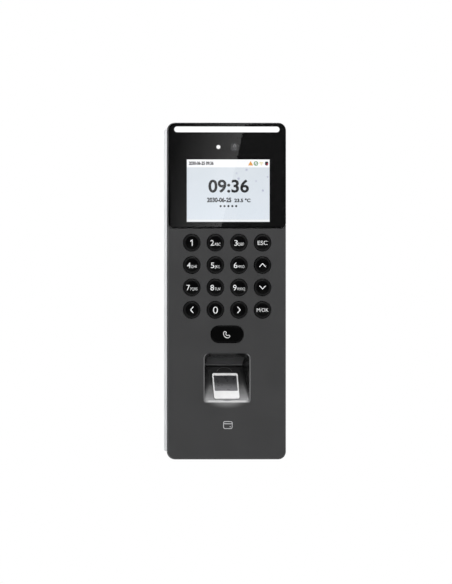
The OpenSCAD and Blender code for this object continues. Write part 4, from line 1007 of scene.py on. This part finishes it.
# lamps
sensorMid = middle(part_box("sensor_window"))
lamps = {
    "overhead": {"place": sensorMid + Vector((0.12, -0.21, 0.97)) * 0.75, "target": sensorMid,
                 "size": (0.42, 0.22), "power": 1.2},
    "leftWall": {"place": (-0.3, 0.08, 0.13), "target": (-0.03, 0.0, 0.03), "size": (0.2, 0.2), "power": 0.82},
    "brow": {"place": sensorMid + Vector((0.1, -0.78, 0.616)) * 0.8, "target": sensorMid,
             "size": (0.35, 0.45), "power": 3.6},
    "front": {"place": (0.35, -1.3, 0.5), "target": (0, 0, -0.02), "size": (0.6, 0.6), "power": 0.9},
    "rear": {"place": (0.3, 1.1, 0.4), "target": (0, 0, 0), "size": (0.6, 0.6), "power": 4.5},
}
for name, lamp in lamps.items():
    data = bpy.data.lights.new(name, "AREA")
    data.shape = "RECTANGLE"
    data.size, data.size_y = lamp["size"]
    data.energy = lamp["power"]
    piece = bpy.data.objects.new(name, data)
    scene.collection.objects.link(piece)
    piece.location = lamp["place"]
    piece.rotation_euler = (Vector(lamp["target"]) - Vector(lamp["place"])).to_track_quat("-Z", "Y").to_euler()


# planes that show only as reflections
def glowFinish(name):
    material, tree, shader = newFinish(name)
    tree.nodes.remove(shader)
    emit = tree.nodes.new("ShaderNodeEmission")
    tree.links.new(emit.outputs[0], tree.nodes["Material Output"].inputs["Surface"])
    place = split(tree, tree.nodes.new("ShaderNodeTexCoord").outputs["Object"])
    return material, tree, emit.inputs["Strength"], place


reflectionOnly = ("camera", "diffuse", "shadow", "transmission", "volume_scatter")
# dark card with a slanted bright edge, for the lens; its lengths are mm on the front
card = {"away": 0.5, "half": 0.4, "edge": 8.9, "at": 5.83, "slope": -0.232, "reach": 40.0, "curve": 1.2, "foot": 64.0,
        "bright": 1.15, "plain": 0.05, "right": 0.02, "dark": 0.022}
finish, tree, strength, (x, y, z) = glowFinish("lensCard")
cardX, cardY, half = card["away"] * math.tan(yaw), faceY - card["away"], card["half"]
across = times(tree, sums(tree, "SUBTRACT", x, cardX), 1 / mm)
drop = times(tree, sums(tree, "SUBTRACT", topZ, z), 1 / mm)
edge = sums(tree, "ADD", times(tree, sums(tree, "SUBTRACT", drop, card["at"]), card["slope"]), card["edge"])
short = sums(tree, "SUBTRACT", edge, across)
fade = sums(tree, "POWER", ramp(tree, short, card["reach"], 0), card["curve"])
lit = times(tree, fade, card["bright"], sums(tree, "GREATER_THAN", short, 0.0))
lit = sums(tree, "ADD", lit, times(tree, sums(tree, "LESS_THAN", short, 0.0), card["right"]))
lit = times(tree, sums(tree, "ADD", lit, card["plain"]), sums(tree, "LESS_THAN", drop, card["foot"]))
tree.links.new(sums(tree, "ADD", lit, card["dark"]), strength)
corners = [(cardX - half, cardY, -half), (cardX + half, cardY, -half), (cardX + half, cardY, half),
           (cardX - half, cardY, half)]
stagePlane("lensCard", corners, finish, *reflectionOnly)
# dim wall behind on the left, for the rear shell's side
flag = {"x": (-0.6, -0.02), "y": 0.4, "half": 0.4, "high": 0.02, "low": -0.09, "bright": 0.12, "dim": 0.0}
finish, tree, strength, (x, y, z) = glowFinish("sideFlag")
tree.links.new(ramp(tree, z, flag["low"], flag["high"], flag["dim"], flag["bright"]), strength)
corners = [(flag["x"][i], flag["y"], j * flag["half"]) for i, j in ((0, -1), (1, -1), (1, 1), (0, 1))]
stagePlane("sideFlag", corners, finish, *reflectionOnly)
print("camera, floor and lamps set")

sizes = {"cad": cadBox, "visual": [[float(c) for c in corner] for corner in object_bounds()]}
print("sizes", sizes)
